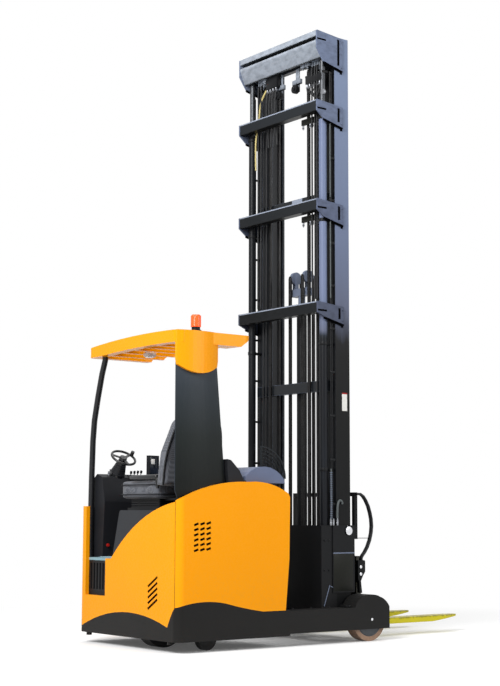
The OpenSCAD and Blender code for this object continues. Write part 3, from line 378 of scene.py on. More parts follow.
def dark_glass():
    """Black glass of a switched-off screen: smooth, with a few finger marks."""
    material, add, shader, coords = new_material("Screen.glass")
    tone = add("Mix", {0: blotches(add, coords, 30, 4), 6: "#10131A", 7: "#1B212C"}, **RGBA)
    marks = add("MapRange", {"Value": blotches(add, coords, 12, 6), "To Min": 0.05, "To Max": 0.22})
    material.node_tree.links.new(tone, shader.inputs["Base Color"])
    material.node_tree.links.new(marks, shader.inputs["Roughness"])
    return material


def plain_card(name, colour):
    """Printed vinyl label stock left blank: satin, a little rubbed."""
    material, add, shader, coords = new_material(name)
    tone = add("Mix", {0: blotches(add, coords, 20, 5), 6: colour, 7: "#D5D3CC"}, **RGBA)
    material.node_tree.links.new(tone, shader.inputs["Base Color"])
    shader.inputs["Roughness"].default_value = 0.45
    return material


FINISHES = {}


def make_finishes(look):
    """Every finish once, by the key that the pieces use."""
    FINISHES.update(
        {
            "frame": painted_steel("Textured.enamel.charcoal", "#1D1D1D", "#161616", 0.46, 2.4, 0.03),
            "floor_plate": painted_steel("Floor.plate.enamel", "#8FB0B8", "#7A99A2", 0.42, 2.4, 0.1),
            "cover": cover_paint((*look.cover_colour, 1)),
            "cab": moulded_plastic("Moulded.plastic.dark", "#17181B", "#212226", 0.52),
            "pedestal": painted_steel("Satin.enamel.grey", "#35373B", "#2A2C2F", 0.4, 2.2, 0.1),
            "slate": painted_steel("Satin.enamel.slate", "#23272B", "#1A1E20", 0.38, 2.2, 0.0),
            "pillar": pillar_paint(),
            "gloss_black": painted_steel(
                "Gloss.black.enamel", "#0F1012", "#17181B", 0.22, 2.0, 0.0, "#3A3C40", 0.4),
            "head": painted_steel(
                "Satin.enamel.steel.blue", "#7A849A", "#5A6274", 0.34, 2.2, 0.0, "#8A92A4"),
            # Cylinders: painted light and shade by height, the left one in painted shade all over
            "barrel": mast_paint(
                "Enamel.on.drawn.tube", None, "#14161A", "#20262E", "#6E7996", 2250, 2700),
            # Pale enamel, also used as painted highlights on the beams' top edges
            "lip": painted_steel("Pale.enamel.and.painted.highlight", "#9AA3B4", "#858E9F", 0.38, 2.2, 0.0, "#B8BCC4", 0.3),
            "olive": painted_steel("Olive.black.enamel", "#1E1F1A", "#171815", 0.40, 2.0, 0.0),
            "pin": bright_metal("Ground.pin.steel", "#F2F3F5", 0.22, 0.8, (1, 1, 1), "#D0D2D6"),
            "hood": moulded_plastic("Moulded.plastic.blue.grey", (*look.hood_colour, 1), "#5C6680", 0.42),
            "mat": rubber_mat(),
            "cloth": seat_cloth((*look.cloth_colour, 1)),
            "battery": painted_steel("Acid.proof.enamel", "#232529", "#1C1E21", 0.45),
            # Outer rails: painted light and shade, pale up high and near black low down
            "mast": mast_paint(
                "Enamel.on.rolled.steel", "#14161A", "#0B0C0D", "#141416", "#7C8AA6", 2120, 4400),
            "beam": beam_paint(),
            "mast_dark": greased_steel(),
            # Matt black, also put down as painted shadow in the brackets' slots and notches
            "void": painted_steel("Matt.black.and.painted.shade", "#060607", "#09090A", 0.8, 2.0, 0.0, "#101011", 0.0),
            "chrome": bright_metal("Hard.chromed.steel", "#B8BCC4", 0.20),
            "steel": bright_metal("Turned.steel", "#8E9196", 0.36, 0.8, (1, 1, 1)),
            # Steel darkened as painted shade on the wheel hubs and as a painted dark reflection on the
            # chromed lift rods
            "dark_steel": bright_metal("Dark.steel.and.painted.shade", "#55575A", 0.42, 0.8, (1, 1, 1), "#3C3E41"),
            "chain": bright_metal("Oiled.chain.steel", "#3A3B3D", 0.40, 1.2, (1, 1, 1), "#2A2826"),
            "black": painted_steel("Black.enamel", "#141517", "#1B1C1E", 0.38, 2.0, 0.05),
            "drive_tyre": tyre_compound("Pressed.on.rubber", "#141415", "#1D1D1F", 0.62, 0.4),
            "load_tyre": tyre_compound("Cast.polyurethane.tan", "#B08F78", "#93745E", 0.42, 0.35),
            "fork": fork_paint((*look.fork_colour, 1)),
            "hose": hose_rubber("Hydraulic.hose.rubber", "#101113", "#1C1D20"),
            "grey_hose": hose_rubber("Sleeved.hose", "#5C6262", "#3F4446"),
            "beacon": beacon_plastic(),
            "glass": dark_glass(),
            "label": plain_card("Blank.vinyl.white", "#EDEDEA"),
            "red": moulded_plastic("Moulded.plastic.red", "#B3201A", "#8E1712", 0.4),
            "cream": moulded_plastic("Moulded.nylon.cream", "#D9C98A", "#BFAF74", 0.45),
        }
    )


# Finish of each CAD node
NODE_FINISH = {
    "frame": ["base_frame", "leg_left", "leg_right"],
    "cover": ["rear_cover", "side_cover_left", "side_cover_right", "guard_roof"],
    "floor_plate": ["cab_floor"],
    "black": ["step_riser", "reach_carriage", "reach_barrel", "free_barrel", "lift_carriage",
              "tilt_frame", "load_backrest", "pedals", "beacon_base", "caster_fork", "drive_unit",
              "seat_suspension", "fork_carriage"],
    "slate": ["bulkhead", "hood_screen"],
    "pillar": ["pillar"],
    "head": ["free_head"],
    "gloss_black": ["guard_tube", "steering_wheel", "steering_column"],
    "barrel": ["lift_barrels"],
    "battery": ["battery_block"],
    "hood": ["hood"],
    "cab": ["side_console", "dash_console", "display"],
    "pedestal": ["seat_pedestal"],
    "cloth": ["seat_cushion", "seat_back"],
    "mast": ["outer_mast"],
    "beam": ["cross_beams"],
    "mast_dark": ["middle_mast", "inner_mast"],
    "chrome": ["reach_rod"],
    "chain": ["lift_chains", "free_chains"],
    # Painted shade: the hubs and lift rods take a dark steel in place of their shade and dark reflections
    "dark_steel": ["lift_rods", "reach_rollers", "drive_hub", "load_hub_left", "load_hub_right"],
    "drive_tyre": ["drive_tyre", "caster_wheel"],
    "load_tyre": ["load_tyre_left", "load_tyre_right"],
    "fork": ["fork_left", "fork_right"],
    "hose": ["carriage_hoses"],
    "beacon": ["beacon_lens"],
}


class TruckLook(bpy.types.PropertyGroup):
    """The colours, sizes and camera that a user may change"""

    cover_colour: bpy.props.FloatVectorProperty(
        name="Cover colour", description="Gel coat of the covers and the guard roof", subtype="COLOR",
        default=linear("#FBA20A")[:3], min=0.0, max=1.0)
    hood_colour: bpy.props.FloatVectorProperty(
        name="Hood colour", description="Moulded hood beside the pillar", subtype="COLOR",
        default=linear("#6A748E")[:3], min=0.0, max=1.0)
    fork_colour: bpy.props.FloatVectorProperty(
        name="Fork colour", description="Enamel of the fork blades", subtype="COLOR",
        default=linear("#DCD01E")[:3], min=0.0, max=1.0)
    cloth_colour: bpy.props.FloatVectorProperty(
        name="Seat colour", description="Cloth of the seat", subtype="COLOR",
        default=linear("#55585F")[:3], min=0.0, max=1.0)
    hose_radius: bpy.props.FloatProperty(
        name="Hose radius", description="Outer radius of the mast's long hoses", unit="LENGTH",
        default=6.5 * MM, min=MM)
    camera_place: bpy.props.FloatVectorProperty(
        name="Camera place", description="Where the camera stands", subtype="TRANSLATION", unit="LENGTH",
        default=(-7.0857, -8.6725, 0.9234))
    camera_yaw: bpy.props.FloatProperty(
        name="Camera yaw", description="Heading of the view from +X", subtype="ANGLE",
        default=math.radians(52.36))
    camera_pitch: bpy.props.FloatProperty(
        name="Camera pitch", description="Upward tilt of the view", subtype="ANGLE",
        default=math.radians(6.81))
    camera_roll: bpy.props.FloatProperty(
        name="Camera roll", description="Turn about the view axis", subtype="ANGLE",
        default=math.radians(0.15))
    camera_lens: bpy.props.FloatProperty(
        name="Camera lens", description="Focal length on a 36 mm frame, in millimetres", min=20.0,
        default=75.69)


def finish_piece(name, bm, key, body, smooth_deg=35, join=True):
    """Makes a bmesh a piece: outward faces, its finish and its body."""
    if join:
        bmesh.ops.remove_doubles(bm, verts=bm.verts, dist=1e-6)
    bmesh.ops.recalc_face_normals(bm, faces=bm.faces)
    mesh = bpy.data.meshes.new(name)
    bm.to_mesh(mesh)
    bm.free()
    return dress(bpy.data.objects.new(name, mesh), key, body, smooth_deg)


def dress(piece, key, body, smooth_deg=35):
    """Links a mesh object, shades it and gives it its finish and its body."""
    bpy.context.scene.collection.objects.link(piece)
    piece.data.materials.clear()
    piece.data.materials.append(FINISHES[key])
    piece.data.shade_smooth()
    piece.data.set_sharp_from_angle(angle=math.radians(smooth_deg))
    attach(piece, body)
    return piece


def round_edges(bm, edges, radius, segments):
    """Rounds some edges of a bmesh by a radius in millimetres."""
    bmesh.ops.bevel(
        bm, geom=list(edges), offset=radius * MM, affect="EDGES", segments=segments, profile=0.5, material=-1
    )


def add_block(bm, lo, hi, edge=2.0, segments=2):
    """A block between two corners in millimetres, its edges rounded by edge."""
    centre = (Vector(lo) + Vector(hi)) / 2
    size = [abs(b - a) * MM for a, b in zip(lo, hi)]
    place = Matrix.Translation(at(*centre)) @ Matrix.Diagonal((*size, 1))
    made = bmesh.ops.create_cube(bm, size=1.0, matrix=place)
    if edge:
        round_edges(bm, {e for v in made["verts"] for e in v.link_edges}, edge, segments)


def add_turned_block(bm, centre, size, axis, degrees):
    """A sharp block of a size in millimetres, turned about one axis through its centre."""
    turn = Matrix.Rotation(math.radians(degrees), 4, axis)
    scale = Matrix.Diagonal((*[length * MM for length in size], 1))
    bmesh.ops.create_cube(bm, size=1.0, matrix=Matrix.Translation(at(*centre)) @ turn @ scale)


def add_rod(bm, start, end, radius, sides=24, edge=1.0):
    """A round bar from start to end in millimetres, with its rims rounded by edge."""
    a, b = at(*start), at(*end)
    axis = b - a
    turn = axis.to_track_quat("Z", "Y").to_matrix().to_4x4()
    place = Matrix.Translation((a + b) / 2) @ turn
    made = bmesh.ops.create_cone(
        bm, cap_ends=True, cap_tris=False, segments=sides, radius1=radius * MM, radius2=radius * MM,
        depth=axis.length, matrix=place,
    )
    if edge:
        rims = {e for v in made["verts"] for e in v.link_edges
                if abs((e.verts[0].co - e.verts[1].co).normalized().dot(axis.normalized())) < 0.5}
        round_edges(bm, rims, edge, 2)


def add_hex_bolt(bm, place, direction, size, height):
    """A hexagon head with a 2 mm washer, standing on place and pointing along direction."""
    start, way = Vector(place), Vector(direction).normalized()
    add_rod(bm, start, start + way * 2, size * 0.72, 20, 0.4)
    add_rod(bm, start + way * 2, start + way * (2 + height), size * 0.58, 6, 0.8)


def add_bolts(bm, places, direction, size, height):
    """Hexagon heads at several places."""
    for place in places:
        add_hex_bolt(bm, place, direction, size, height)


def hoses(name, routes, radius, key, body):
    """Tubes of one radius along smooth routes given in millimetres, joined as one mesh."""
    curve = bpy.data.curves.new(name + ".path", "CURVE")
    curve.dimensions = "3D"
    curve.bevel_depth = radius * MM
    curve.bevel_resolution = 4
    curve.resolution_u = 6
    curve.use_fill_caps = True
    for route in routes:
        spline = curve.splines.new("NURBS")
        spline.points.add(len(route) - 1)
        for point, place in zip(spline.points, route):
            point.co = (*at(*place), 1.0)
        spline.order_u = 4
        spline.use_endpoint_u = True
    carrier = bpy.data.objects.new(name + ".path", curve)
    bpy.context.scene.collection.objects.link(carrier)
    bpy.context.view_layer.update()
    mesh = bpy.data.meshes.new_from_object(carrier.evaluated_get(bpy.context.evaluated_depsgraph_get()))
    bpy.data.objects.remove(carrier)
    piece = bpy.data.objects.new(name, mesh)
    return dress(piece, key, body, 50)


# Soft covers: inset of the outline, most that a point may swell, both in millimetres, and frames of cloth
COVER_INSET, MOST_SWELL, SWELL_FRAMES = 5, 8, 20


def padded_piece(name, node):
    """Swells one CAD node's drawn-in outline as cloth over foam and lets it stand for the node."""
    piece = bpy.data.objects.new(name, outline_of(node, COVER_INSET))
    bpy.context.scene.collection.objects.link(piece)
    bpy.context.view_layer.objects.active = piece
    piece.select_set(True)
    remesh = piece.modifiers.new("Even.mesh", "REMESH")
    remesh.mode = "VOXEL"
    remesh.voxel_size = 0.006
    bpy.ops.object.modifier_apply(modifier=remesh.name)
    relax = piece.modifiers.new("Round.edges", "SMOOTH")
    relax.factor = 0.5
    relax.iterations = 10
    bpy.ops.object.modifier_apply(modifier=relax.name)
    start = [v.co.copy() for v in piece.data.vertices]
    cloth = piece.modifiers.new("Cover", "CLOTH")
    cloth.settings.use_pressure = True
    cloth.settings.uniform_pressure_force = 4.0
    cloth.settings.effector_weights.gravity = 0
    cloth.settings.tension_stiffness = 20
    cloth.settings.compression_stiffness = 20
    scene = bpy.context.scene
    for number in range(1, SWELL_FRAMES + 1):
        scene.frame_set(number)
    bpy.ops.object.modifier_apply(modifier=cloth.name)
    scene.frame_set(1)
    for vertex, origin in zip(piece.data.vertices, start):
        shift = vertex.co - origin
        if shift.length > MOST_SWELL * MM:
            vertex.co = origin + shift.normalized() * MOST_SWELL * MM
    smooth = piece.modifiers.new("Soft.faces", "SUBSURF")
    smooth.levels = smooth.render_levels = 1
    bpy.ops.object.modifier_apply(modifier=smooth.name)
    piece.select_set(False)
    bpy.context.scene.collection.objects.unlink(piece)
    dress(piece, "cloth", "chassis", 80)
    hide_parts(node)


# Lamps: name, place in metres, power in watts; their width in metres, and the point that they face
LAMPS = (("Key", (-7.5, -3.0, 6.0), 800), ("Side", (3.0, -7.5, 4.5), 235), ("Top", (0.5, 1.5, 8.5), 230))
LAMP_WIDTH, LAMP_AIM = 4.0, (0, 0, 1.2)
# Strength of the world's light, and where the floor starts and ends to fade to white, in metres
WORLD_LIGHT, FADE_NEAR, FADE_FAR = 0.38, 1.8, 4.2
# Half width of the floor and its depth below the wheels, which keeps it clear of them, in metres
FLOOR_REACH, FLOOR_DROP = 40.0, 0.001


def is_seen_directly(add):
    """1 where a ray comes from the camera, a mirror or glass."""
    path = add("LightPath", out=None).outputs
    first = add("Math", {0: path["Is Camera Ray"], 1: path["Is Glossy Ray"]}, operation="MAXIMUM")
    return add("Math", {0: first, 1: path["Is Transmission Ray"]}, operation="MAXIMUM")


def floor_material():
    """Pale matt floor that keeps shadows near the truck and fades to white far from it."""
    material = bpy.data.materials.new("Pale.floor")
    material.use_nodes = True
    material.node_tree.nodes.clear()
    add = partial(add_node, material.node_tree)
    distance = add("VectorMath", {0: add("TexCoord", out="Object")}, out="Value", operation="LENGTH")
    far = add("MapRange", {"Value": distance, "From Min": FADE_NEAR, "From Max": FADE_FAR})
    direct = is_seen_directly(add)
    seen = add("Math", {0: far, 1: direct}, operation="MULTIPLY")
    tone = add("MapRange", {"Value": direct, "To Min": 0.55, "To Max": 0.97})
    glow = add("MapRange", {"Value": direct, "To Min": 0.0, "To Max": 0.08})
    matt = add("BsdfDiffuse", {"Color": tone})
    near = add("AddShader", {0: matt, 1: add("Emission", {"Strength": glow})})
    white = add("Emission", {"Strength": 1.0})
    add("OutputMaterial", {"Surface": add("MixShader", {0: seen, 1: near, 2: white})}, out=None)
    return material


class TRUCK_OT_stage(bpy.types.Operator):
    """Sets the camera, the lamps, the world and the floor"""

    bl_idname = "reach_truck.stage"
    bl_label = "Stage"

    def execute(self, context):
        look = context.scene.truck_look
        scene = context.scene
        scene.view_settings.view_transform = "Standard"
        yaw, pitch = look.camera_yaw, look.camera_pitch
        heading = Vector((math.cos(yaw) * math.cos(pitch), math.sin(yaw) * math.cos(pitch), math.sin(pitch)))
        camera = bpy.data.objects.new("Camera", bpy.data.cameras.new("Camera"))
        camera.data.lens = look.camera_lens
        camera.data.sensor_width = 36.0
        camera.data.clip_end = 200.0
        turn = heading.to_track_quat("-Z", "Y") @ Euler((0, 0, look.camera_roll)).to_quaternion()
        camera.matrix_world = Matrix.Translation(look.camera_place) @ turn.to_matrix().to_4x4()
        scene.collection.objects.link(camera)
        scene.camera = camera

        for name, place, power in LAMPS:
            lamp = bpy.data.objects.new(name, bpy.data.lights.new(name, "AREA"))
            lamp.data.size = LAMP_WIDTH
            lamp.data.energy = power
            aim = Vector(LAMP_AIM) - Vector(place)
            lamp.matrix_world = Matrix.Translation(place) @ aim.to_track_quat("-Z", "Y").to_matrix().to_4x4()
            scene.collection.objects.link(lamp)

        world = bpy.data.worlds.new("Studio")
        scene.world = world
        world.use_nodes = True
        world.node_tree.nodes.clear()
        add = partial(add_node, world.node_tree)
        soft = add("Background", {"Color": "#FFFFFF", "Strength": WORLD_LIGHT})
        white = add("Background", {"Color": "#FFFFFF", "Strength": 1.0})
        chosen = add("MixShader", {0: is_seen_directly(add), 1: soft, 2: white})
        add("OutputWorld", {"Surface": chosen}, out=None)

        bm = bmesh.new()
        bmesh.ops.create_grid(bm, x_segments=2, y_segments=2, size=FLOOR_REACH)
        mesh = bpy.data.meshes.new("Floor")
        bm.to_mesh(mesh)
        bm.free()
        mesh.transform(Matrix.Translation((0, 0, -FLOOR_DROP)))
        floor = bpy.data.objects.new("Floor", mesh)
        mesh.materials.append(floor_material())
        scene.collection.objects.link(floor)
        return {"FINISHED"}


class TRUCK_OT_finishes(bpy.types.Operator):
    """Gives every node of the frame its finish"""

    bl_idname = "reach_truck.finishes"
    bl_label = "Finishes"

    def execute(self, context):
        make_finishes(context.scene.truck_look)
        left = set(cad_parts)
        for key, names in NODE_FINISH.items():
            for name in names:
                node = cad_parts[name]
                node.data.materials.clear()
                node.data.materials.append(FINISHES[key])
                left.discard(name)
        if left:
            raise RuntimeError("no finish for " + ", ".join(sorted(left)))
        return {"FINISHED"}


def outline_of(node, inset):
    """A mesh of one CAD node drawn in by inset millimetres on every side, for a cover to swell from."""
    bm = bmesh.new()
    bm.from_mesh(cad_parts[node].data)
    bmesh.ops.remove_doubles(bm, verts=bm.verts, dist=1e-5)
    lo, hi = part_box(node)
    scale = [1 - 2 * inset * MM / (b - a) for a, b in zip(lo, hi)]
    bmesh.ops.scale(bm, vec=scale, space=Matrix.Translation(-(lo + hi) / 2), verts=bm.verts)
    mesh = bpy.data.meshes.new(node)
    bm.to_mesh(mesh)
    bm.free()
    return mesh


class TRUCK_OT_seat(bpy.types.Operator):
    """Makes the seat cushion and back as foam under cloth, with their piping, shell frame and armrest"""

    bl_idname = "reach_truck.seat"
    bl_label = "Seat"

    def execute(self, context):
        padded_piece("Seat.cushion", "seat_cushion")
        padded_piece("Seat.back", "seat_back")

        middle = 313
        edge = [(78, -334, 1130), (78, -348, 1240), (79, -362, 1305), (82, -384, 1370), (104, -414, 1480),
                (126, -432, 1556), (160, -438, 1588), (230, -438, 1594)]
        frame_route = edge + [(2 * middle - x, y, z) for x, y, z in reversed(edge)]
        hoses("Seat.frame", [frame_route], 7, "gloss_black", "chassis")

        lo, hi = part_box("seat_cushion")
        x0, x1, y0, y1 = lo.x / MM - REAR, hi.x / MM - REAR, lo.y / MM, hi.y / MM
        bend = 50
        corners = [(x1 - bend, y0 + bend, -90), (x1 - bend, y1 - bend, 0), (x0 + bend, y1 - bend, 90),
                   (x0 + bend, y0 + bend, 180)]
        routes = []
        for z in (lo.z / MM + 26, hi.z / MM - 26):
            ring = []
            for x, y, start in corners:
                for turn in (0, 30, 60, 90):
                    angle = math.radians(start + turn)
                    ring.append((x + (bend - 1) * math.cos(angle), y + (bend - 1) * math.sin(angle), z))
            routes.append(ring + ring[:1])
        hoses("Seat.piping", routes, 3.5, "cab", "chassis")

        bm = bmesh.new()
        add_block(bm, (72, -252, 1172), (110, 96, 1206), 14, 3)
        add_rod(bm, (91, -246, 1120), (91, -246, 1180), 13, 20, 2)
        add_block(bm, (84, -262, 1108), (98, -236, 1136), 4)
        finish_piece("Armrest", bm, "gloss_black", "chassis")
        return {"FINISHED"}


def add_ring(bm, centre, axis, radius, tube, turns=32, sides=10):
    """A round ring about axis, in millimetres."""
    way = Vector(axis).normalized()
    out = way.orthogonal().normalized()
    made = bmesh.ops.create_circle(bm, cap_ends=False, segments=sides, radius=tube * MM)
    verts = made["verts"]
    turn = Matrix((out, way, out.cross(way))).transposed().to_4x4()
    bmesh.ops.transform(bm, matrix=Matrix.Translation(at(*centre) + out * radius * MM) @ turn, verts=verts)
    edges = list({e for v in verts for e in v.link_edges})
    bmesh.ops.spin(
        bm, geom=verts + edges, cent=at(*centre), axis=way, angle=2 * math.pi, steps=turns, use_merge=True
    )


def arrayed(bm, offset, count):
    """The mesh of a bmesh repeated count times, each copy offset further in millimetres."""
    mesh = bpy.data.meshes.new("Link")
    bm.to_mesh(mesh)
    bm.free()
    carrier = bpy.data.objects.new("Link", mesh)
    bpy.context.scene.collection.objects.link(carrier)
    array = carrier.modifiers.new("Array", "ARRAY")
    array.count = count
    array.use_relative_offset = False
    array.use_constant_offset = True
    array.constant_offset_displace = Vector(offset) * MM
    bpy.context.view_layer.update()
    made = bpy.data.meshes.new_from_object(carrier.evaluated_get(bpy.context.evaluated_depsgraph_get()))
    bpy.data.objects.remove(carrier)
    return made


def leaf_chain(z_low, z_high):
    """The mesh of a leaf chain of 25.4 mm pitch from z_low to z_high, at x 0 and y 0: five plates wide."""
    pitch = 25.4
    bm = bmesh.new()
    for layer in range(5):
        y_plate = layer * 5 - 10
        shift = pitch / 2 if layer % 2 else 0
        lo, hi = (-9, y_plate - 1.8, z_low + shift), (9, y_plate + 1.8, z_low + shift + pitch * 1.32)
        add_block(bm, lo, hi, 3.4, 1)
    for step in (0.2, 0.7):
        z = z_low + pitch * step
        add_rod(bm, (0, -13, z), (0, 13, z), 4, 8, 0)
    return arrayed(bm, (0, 0, pitch), int((z_high - z_low) / pitch))


def place_copies(bm, mesh, places):
    """Adds a copy of a mesh at each of the (x, y) places in millimetres."""
    for x, y in places:
        known = len(bm.verts)
        bm.from_mesh(mesh)
        bm.verts.ensure_lookup_table()
        bmesh.ops.translate(bm, vec=Vector((x, y, 0)) * MM, verts=bm.verts[known:])


def add_sheave(bm, centre, axis, radius, width, hub=10):
    """A grooved pulley about axis with a hub, in millimetres."""
    c, way = Vector(centre), Vector(axis).normalized()
    add_rod(bm, c - way * width / 2, c - way * width / 4, radius, 28, 1.5)
    add_rod(bm, c + way * width / 4, c + way * width / 2, radius, 28, 1.5)
    add_rod(bm, c - way * width / 4, c + way * width / 4, radius * 0.84, 28, 0)
    add_rod(bm, c - way * (width / 2 + 6), c + way * (width / 2 + 6), hub, 16, 1)


def add_coupling(bm, start, way, radius, length):
    """A hose end: swaged collar, hexagon nut and pipe stub."""
    a, w = Vector(start), Vector(way).normalized()
    add_rod(bm, a, a + w * length * 0.5, radius * 1.25, 16, 1)
    add_rod(bm, a + w * length * 0.5, a + w * length * 0.8, radius * 1.5, 6, 1)
    add_rod(bm, a + w * length * 0.8, a + w * length, radius * 0.9, 12, 0.6)


# Cross beams of the mast: top and bracket height, in millimetres
BEAMS = ((4632, 256), (4085, 160), (3313, 155), (2525, 133))
# Where the hose sheaves under the middle stage's head beam stand across the truck
MAST_SHEAVES = (-398, -372, -338, 300, 338)
# Their place along the truck and above the floor, and the radius of a hose's bend over them
SHEAVE_X, SHEAVE_Z, HOSE_BEND = 1463, 4372, 26
# Ports of the valve blocks on the head beam, across the truck
PORTS, LEFT_PORTS = (-276, -306, -336, -366, -396, -426), (112, 150, 188, 222)
# Undersides of the valves below the second and the third cross beam
BEAM_VALVES = (3950, 3178)
# Lift cylinders, along and across the truck, and lift chains and free lift chains, across it
BARREL_X, BARREL_Y, CHAIN_Y, FREE_CHAIN_Y = 1458, 440, 240, 75
# Middle of the lift chains' pulleys above the floor
PULLEY_Z = 4385


class TRUCK_OT_mast_hoses(bpy.types.Operator):
    """Makes the pipes, hoses, sheaves and couplings of the mast"""

    bl_idname = "reach_truck.mast_hoses"
    bl_label = "Mast hoses"

    def execute(self, context):
        bm = bmesh.new()
        for side in (-1, 1):
            y = side * 474.5
            for x in (1500, 1514):
                add_rod(bm, (x, y, 868), (x, y, 4330), 4.5, 10, 0)
            for z in range(1000, 4300, 330):
                add_block(bm, (1488, y - 5.5, z), (1540, y + 5.5, z + 16), 2)
                add_hex_bolt(bm, (1528, y - side * 5.5, z + 8), (0, -side, 0), 8, 4)
        finish_piece("Mast.pipes", bm, "black", "reach")

        bm = bmesh.new()
        for y in MAST_SHEAVES:
            add_sheave(bm, (SHEAVE_X, y, SHEAVE_Z), (0, 1, 0), 23, 20)
        for y in (-104, 104):
            add_rod(bm, (1446, y, 4268), (1482, y, 4268), 33, 32, 3)
            add_rod(bm, (1440, y, 4268), (1446, y, 4268), 14, 20, 1)
        finish_piece("Hose.sheaves", bm, "black", "middle_stage")

        bm = bmesh.new()
        for y in MAST_SHEAVES:
            for face in (y - 15.5, y + 12.5):
                add_block(bm, (1448, face, 4352), (1478, face + 3, 4460), 2)
        for y in (-104, 104):
            add_block(bm, (1484, y - 22, 4250), (1494, y + 22, 4440), 3)
            add_block(bm, (1470, y - 50, 4310), (1495, y + 50, 4350), 4)
        for y in (-270, -214, 214, 270):
            add_block(bm, (1440, y - 20, 4410), (1494, y + 20, 4438), 4)
            add_rod(bm, (1452, y, 4396), (1452, y, 4412), 9, 6, 1)
        finish_piece("Sheave.brackets", bm, "beam", "middle_stage")

        routes = []
        for y in MAST_SHEAVES:
            turns = [math.pi * i / 6 for i in range(7)]
            arc = [(SHEAVE_X - HOSE_BEND * math.cos(turn), y, SHEAVE_Z + HOSE_BEND * math.sin(turn))
                   for turn in turns]
            routes.append([(SHEAVE_X - HOSE_BEND, y, z) for z in (2560, 3400, 4200)] + arc
                          + [(1488, y * 0.99, 4200), (1487, y * 0.98, 3400), (1487, y * 0.98, 420)])
        radius = context.scene.truck_look.hose_radius / MM
        hoses("Mast.hoses", routes, radius, "hose", "middle_stage")

        pale = [(1452, 170, 4436), (1448, 190, 4390), (1444, 250, 4330), (1440, 318, 4250),
                (1438, 322, 4150), (1438, 340, 4060), (1436, 372, 3960), (1440, 378, 3850),
                (1440, 372, 3700)]
        hoses("Sensor.hose", [pale], 7, "cream", "middle_stage")

        bm = bmesh.new()
        add_block(bm, (1431, -452, 4262), (1486, -262, 4318), 5)
        add_block(bm, (1440, -470, 4318), (1490, -250, 4336), 3)
        add_block(bm, (1470, -300, 4330), (1490, -270, 4445), 3)
        add_block(bm, (1470, -440, 4330), (1490, -410, 4445), 3)
        add_block(bm, (1432, 96, 4330), (1486, 236, 4438), 6)
        finish_piece("Valve.blocks", bm, "black", "middle_stage")
        loops = []
        for i, y in enumerate(PORTS[:3]):
            dip = 4190 - 26 * i
            loops.append([(1442, y, 4232), (1441, y, 4210), (1439, y - 10, dip + 14), (1438, y - 45, dip),
                          (1439, y - 80, dip + 14), (1441, y - 90, 4210), (1442, y - 90, 4232)])
        for y in LEFT_PORTS:
            loops.append([(1442, y, 4324), (1439, y + 4, 4280), (1438, y + 16, 4200), (1440, y + 10, 4100),
                          (1446, y, 3990), (1450, y, 3860)])
        hoses("Head.hoses", loops, 7, "hose", "middle_stage")

        bm = bmesh.new()
        for y in PORTS:
            add_coupling(bm, (1442, y, 4262), (0, 0, -1), 7, 40)
        for y in LEFT_PORTS:
            add_coupling(bm, (1442, y, 4340), (0, 0, -1), 7, 36)
        add_rod(bm, (1431, -470, 4160), (1447, -470, 4160), 24, 24, 3)
        finish_piece("Head.couplings", bm, "steel", "middle_stage")

        bm = bmesh.new()
        for z in BEAM_VALVES:
            add_block(bm, (1450, -404, z), (1470, -190, z + 48), 5)
        finish_piece("Beam.valve", bm, "olive", "reach")
        bm = bmesh.new()
        for z in BEAM_VALVES:
            for y in (-205, -290, -318, -354, -388):
                add_coupling(bm, (1460, y, z + 2), (0, 0, -1), 6, 36)
        finish_piece("Beam.couplings", bm, "steel", "reach")
        # Painted highlight: thin pale strips along the top edges of the lower three beams' rear faces
        bm = bmesh.new()
        for top, drop in BEAMS[1:]:
            add_block(bm, (1357.2, -478, top - 9), (1358.2, 478, top - 0.5), 0.3)
        finish_piece("Beam.edge.highlights", bm, "lip", "reach")
        bm = bmesh.new()
        add_block(bm, (1494.4, -147, 3346), (1496.2, -23, 3388), 0.4)
        finish_piece("Member.plate", bm, "lip", "middle_stage")
        ties = [[(1492, -486, z), (1492, -486, z - 300), (1492, -486, z - 610)] for z in (3170, 3950)]
        hoses("Tie.hoses", ties, 5, "grey_hose", "reach")
        return {"FINISHED"}


class TRUCK_OT_chains(bpy.types.Operator):
    """Makes the leaf chains and their pulleys"""

    bl_idname = "reach_truck.chains"
    bl_label = "Chains"

    def execute(self, context):
        bm = bmesh.new()
        places = [(x, side * CHAIN_Y) for side in (-1, 1) for x in (1486, 1574)]
        place_copies(bm, leaf_chain(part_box("lift_chains")[0].z / MM, PULLEY_Z), places)
        for side in (-1, 1):
            add_sheave(bm, (1530, side * CHAIN_Y, PULLEY_Z), (0, 1, 0), 38, 30, 9)
        piece = finish_piece("Lift.chains", bm, "chain", "middle_stage", join=False)
        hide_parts("lift_chains")
        bm = bmesh.new()
        lo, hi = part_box("free_chains")
        places = [(x, side * FREE_CHAIN_Y) for side in (-1, 1) for x in (1556, 1668)]
        place_copies(bm, leaf_chain(lo.z / MM, hi.z / MM), places)
        piece = finish_piece("Free.chains", bm, "chain", "crosshead", join=False)
        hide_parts("free_chains")
        return {"FINISHED"}


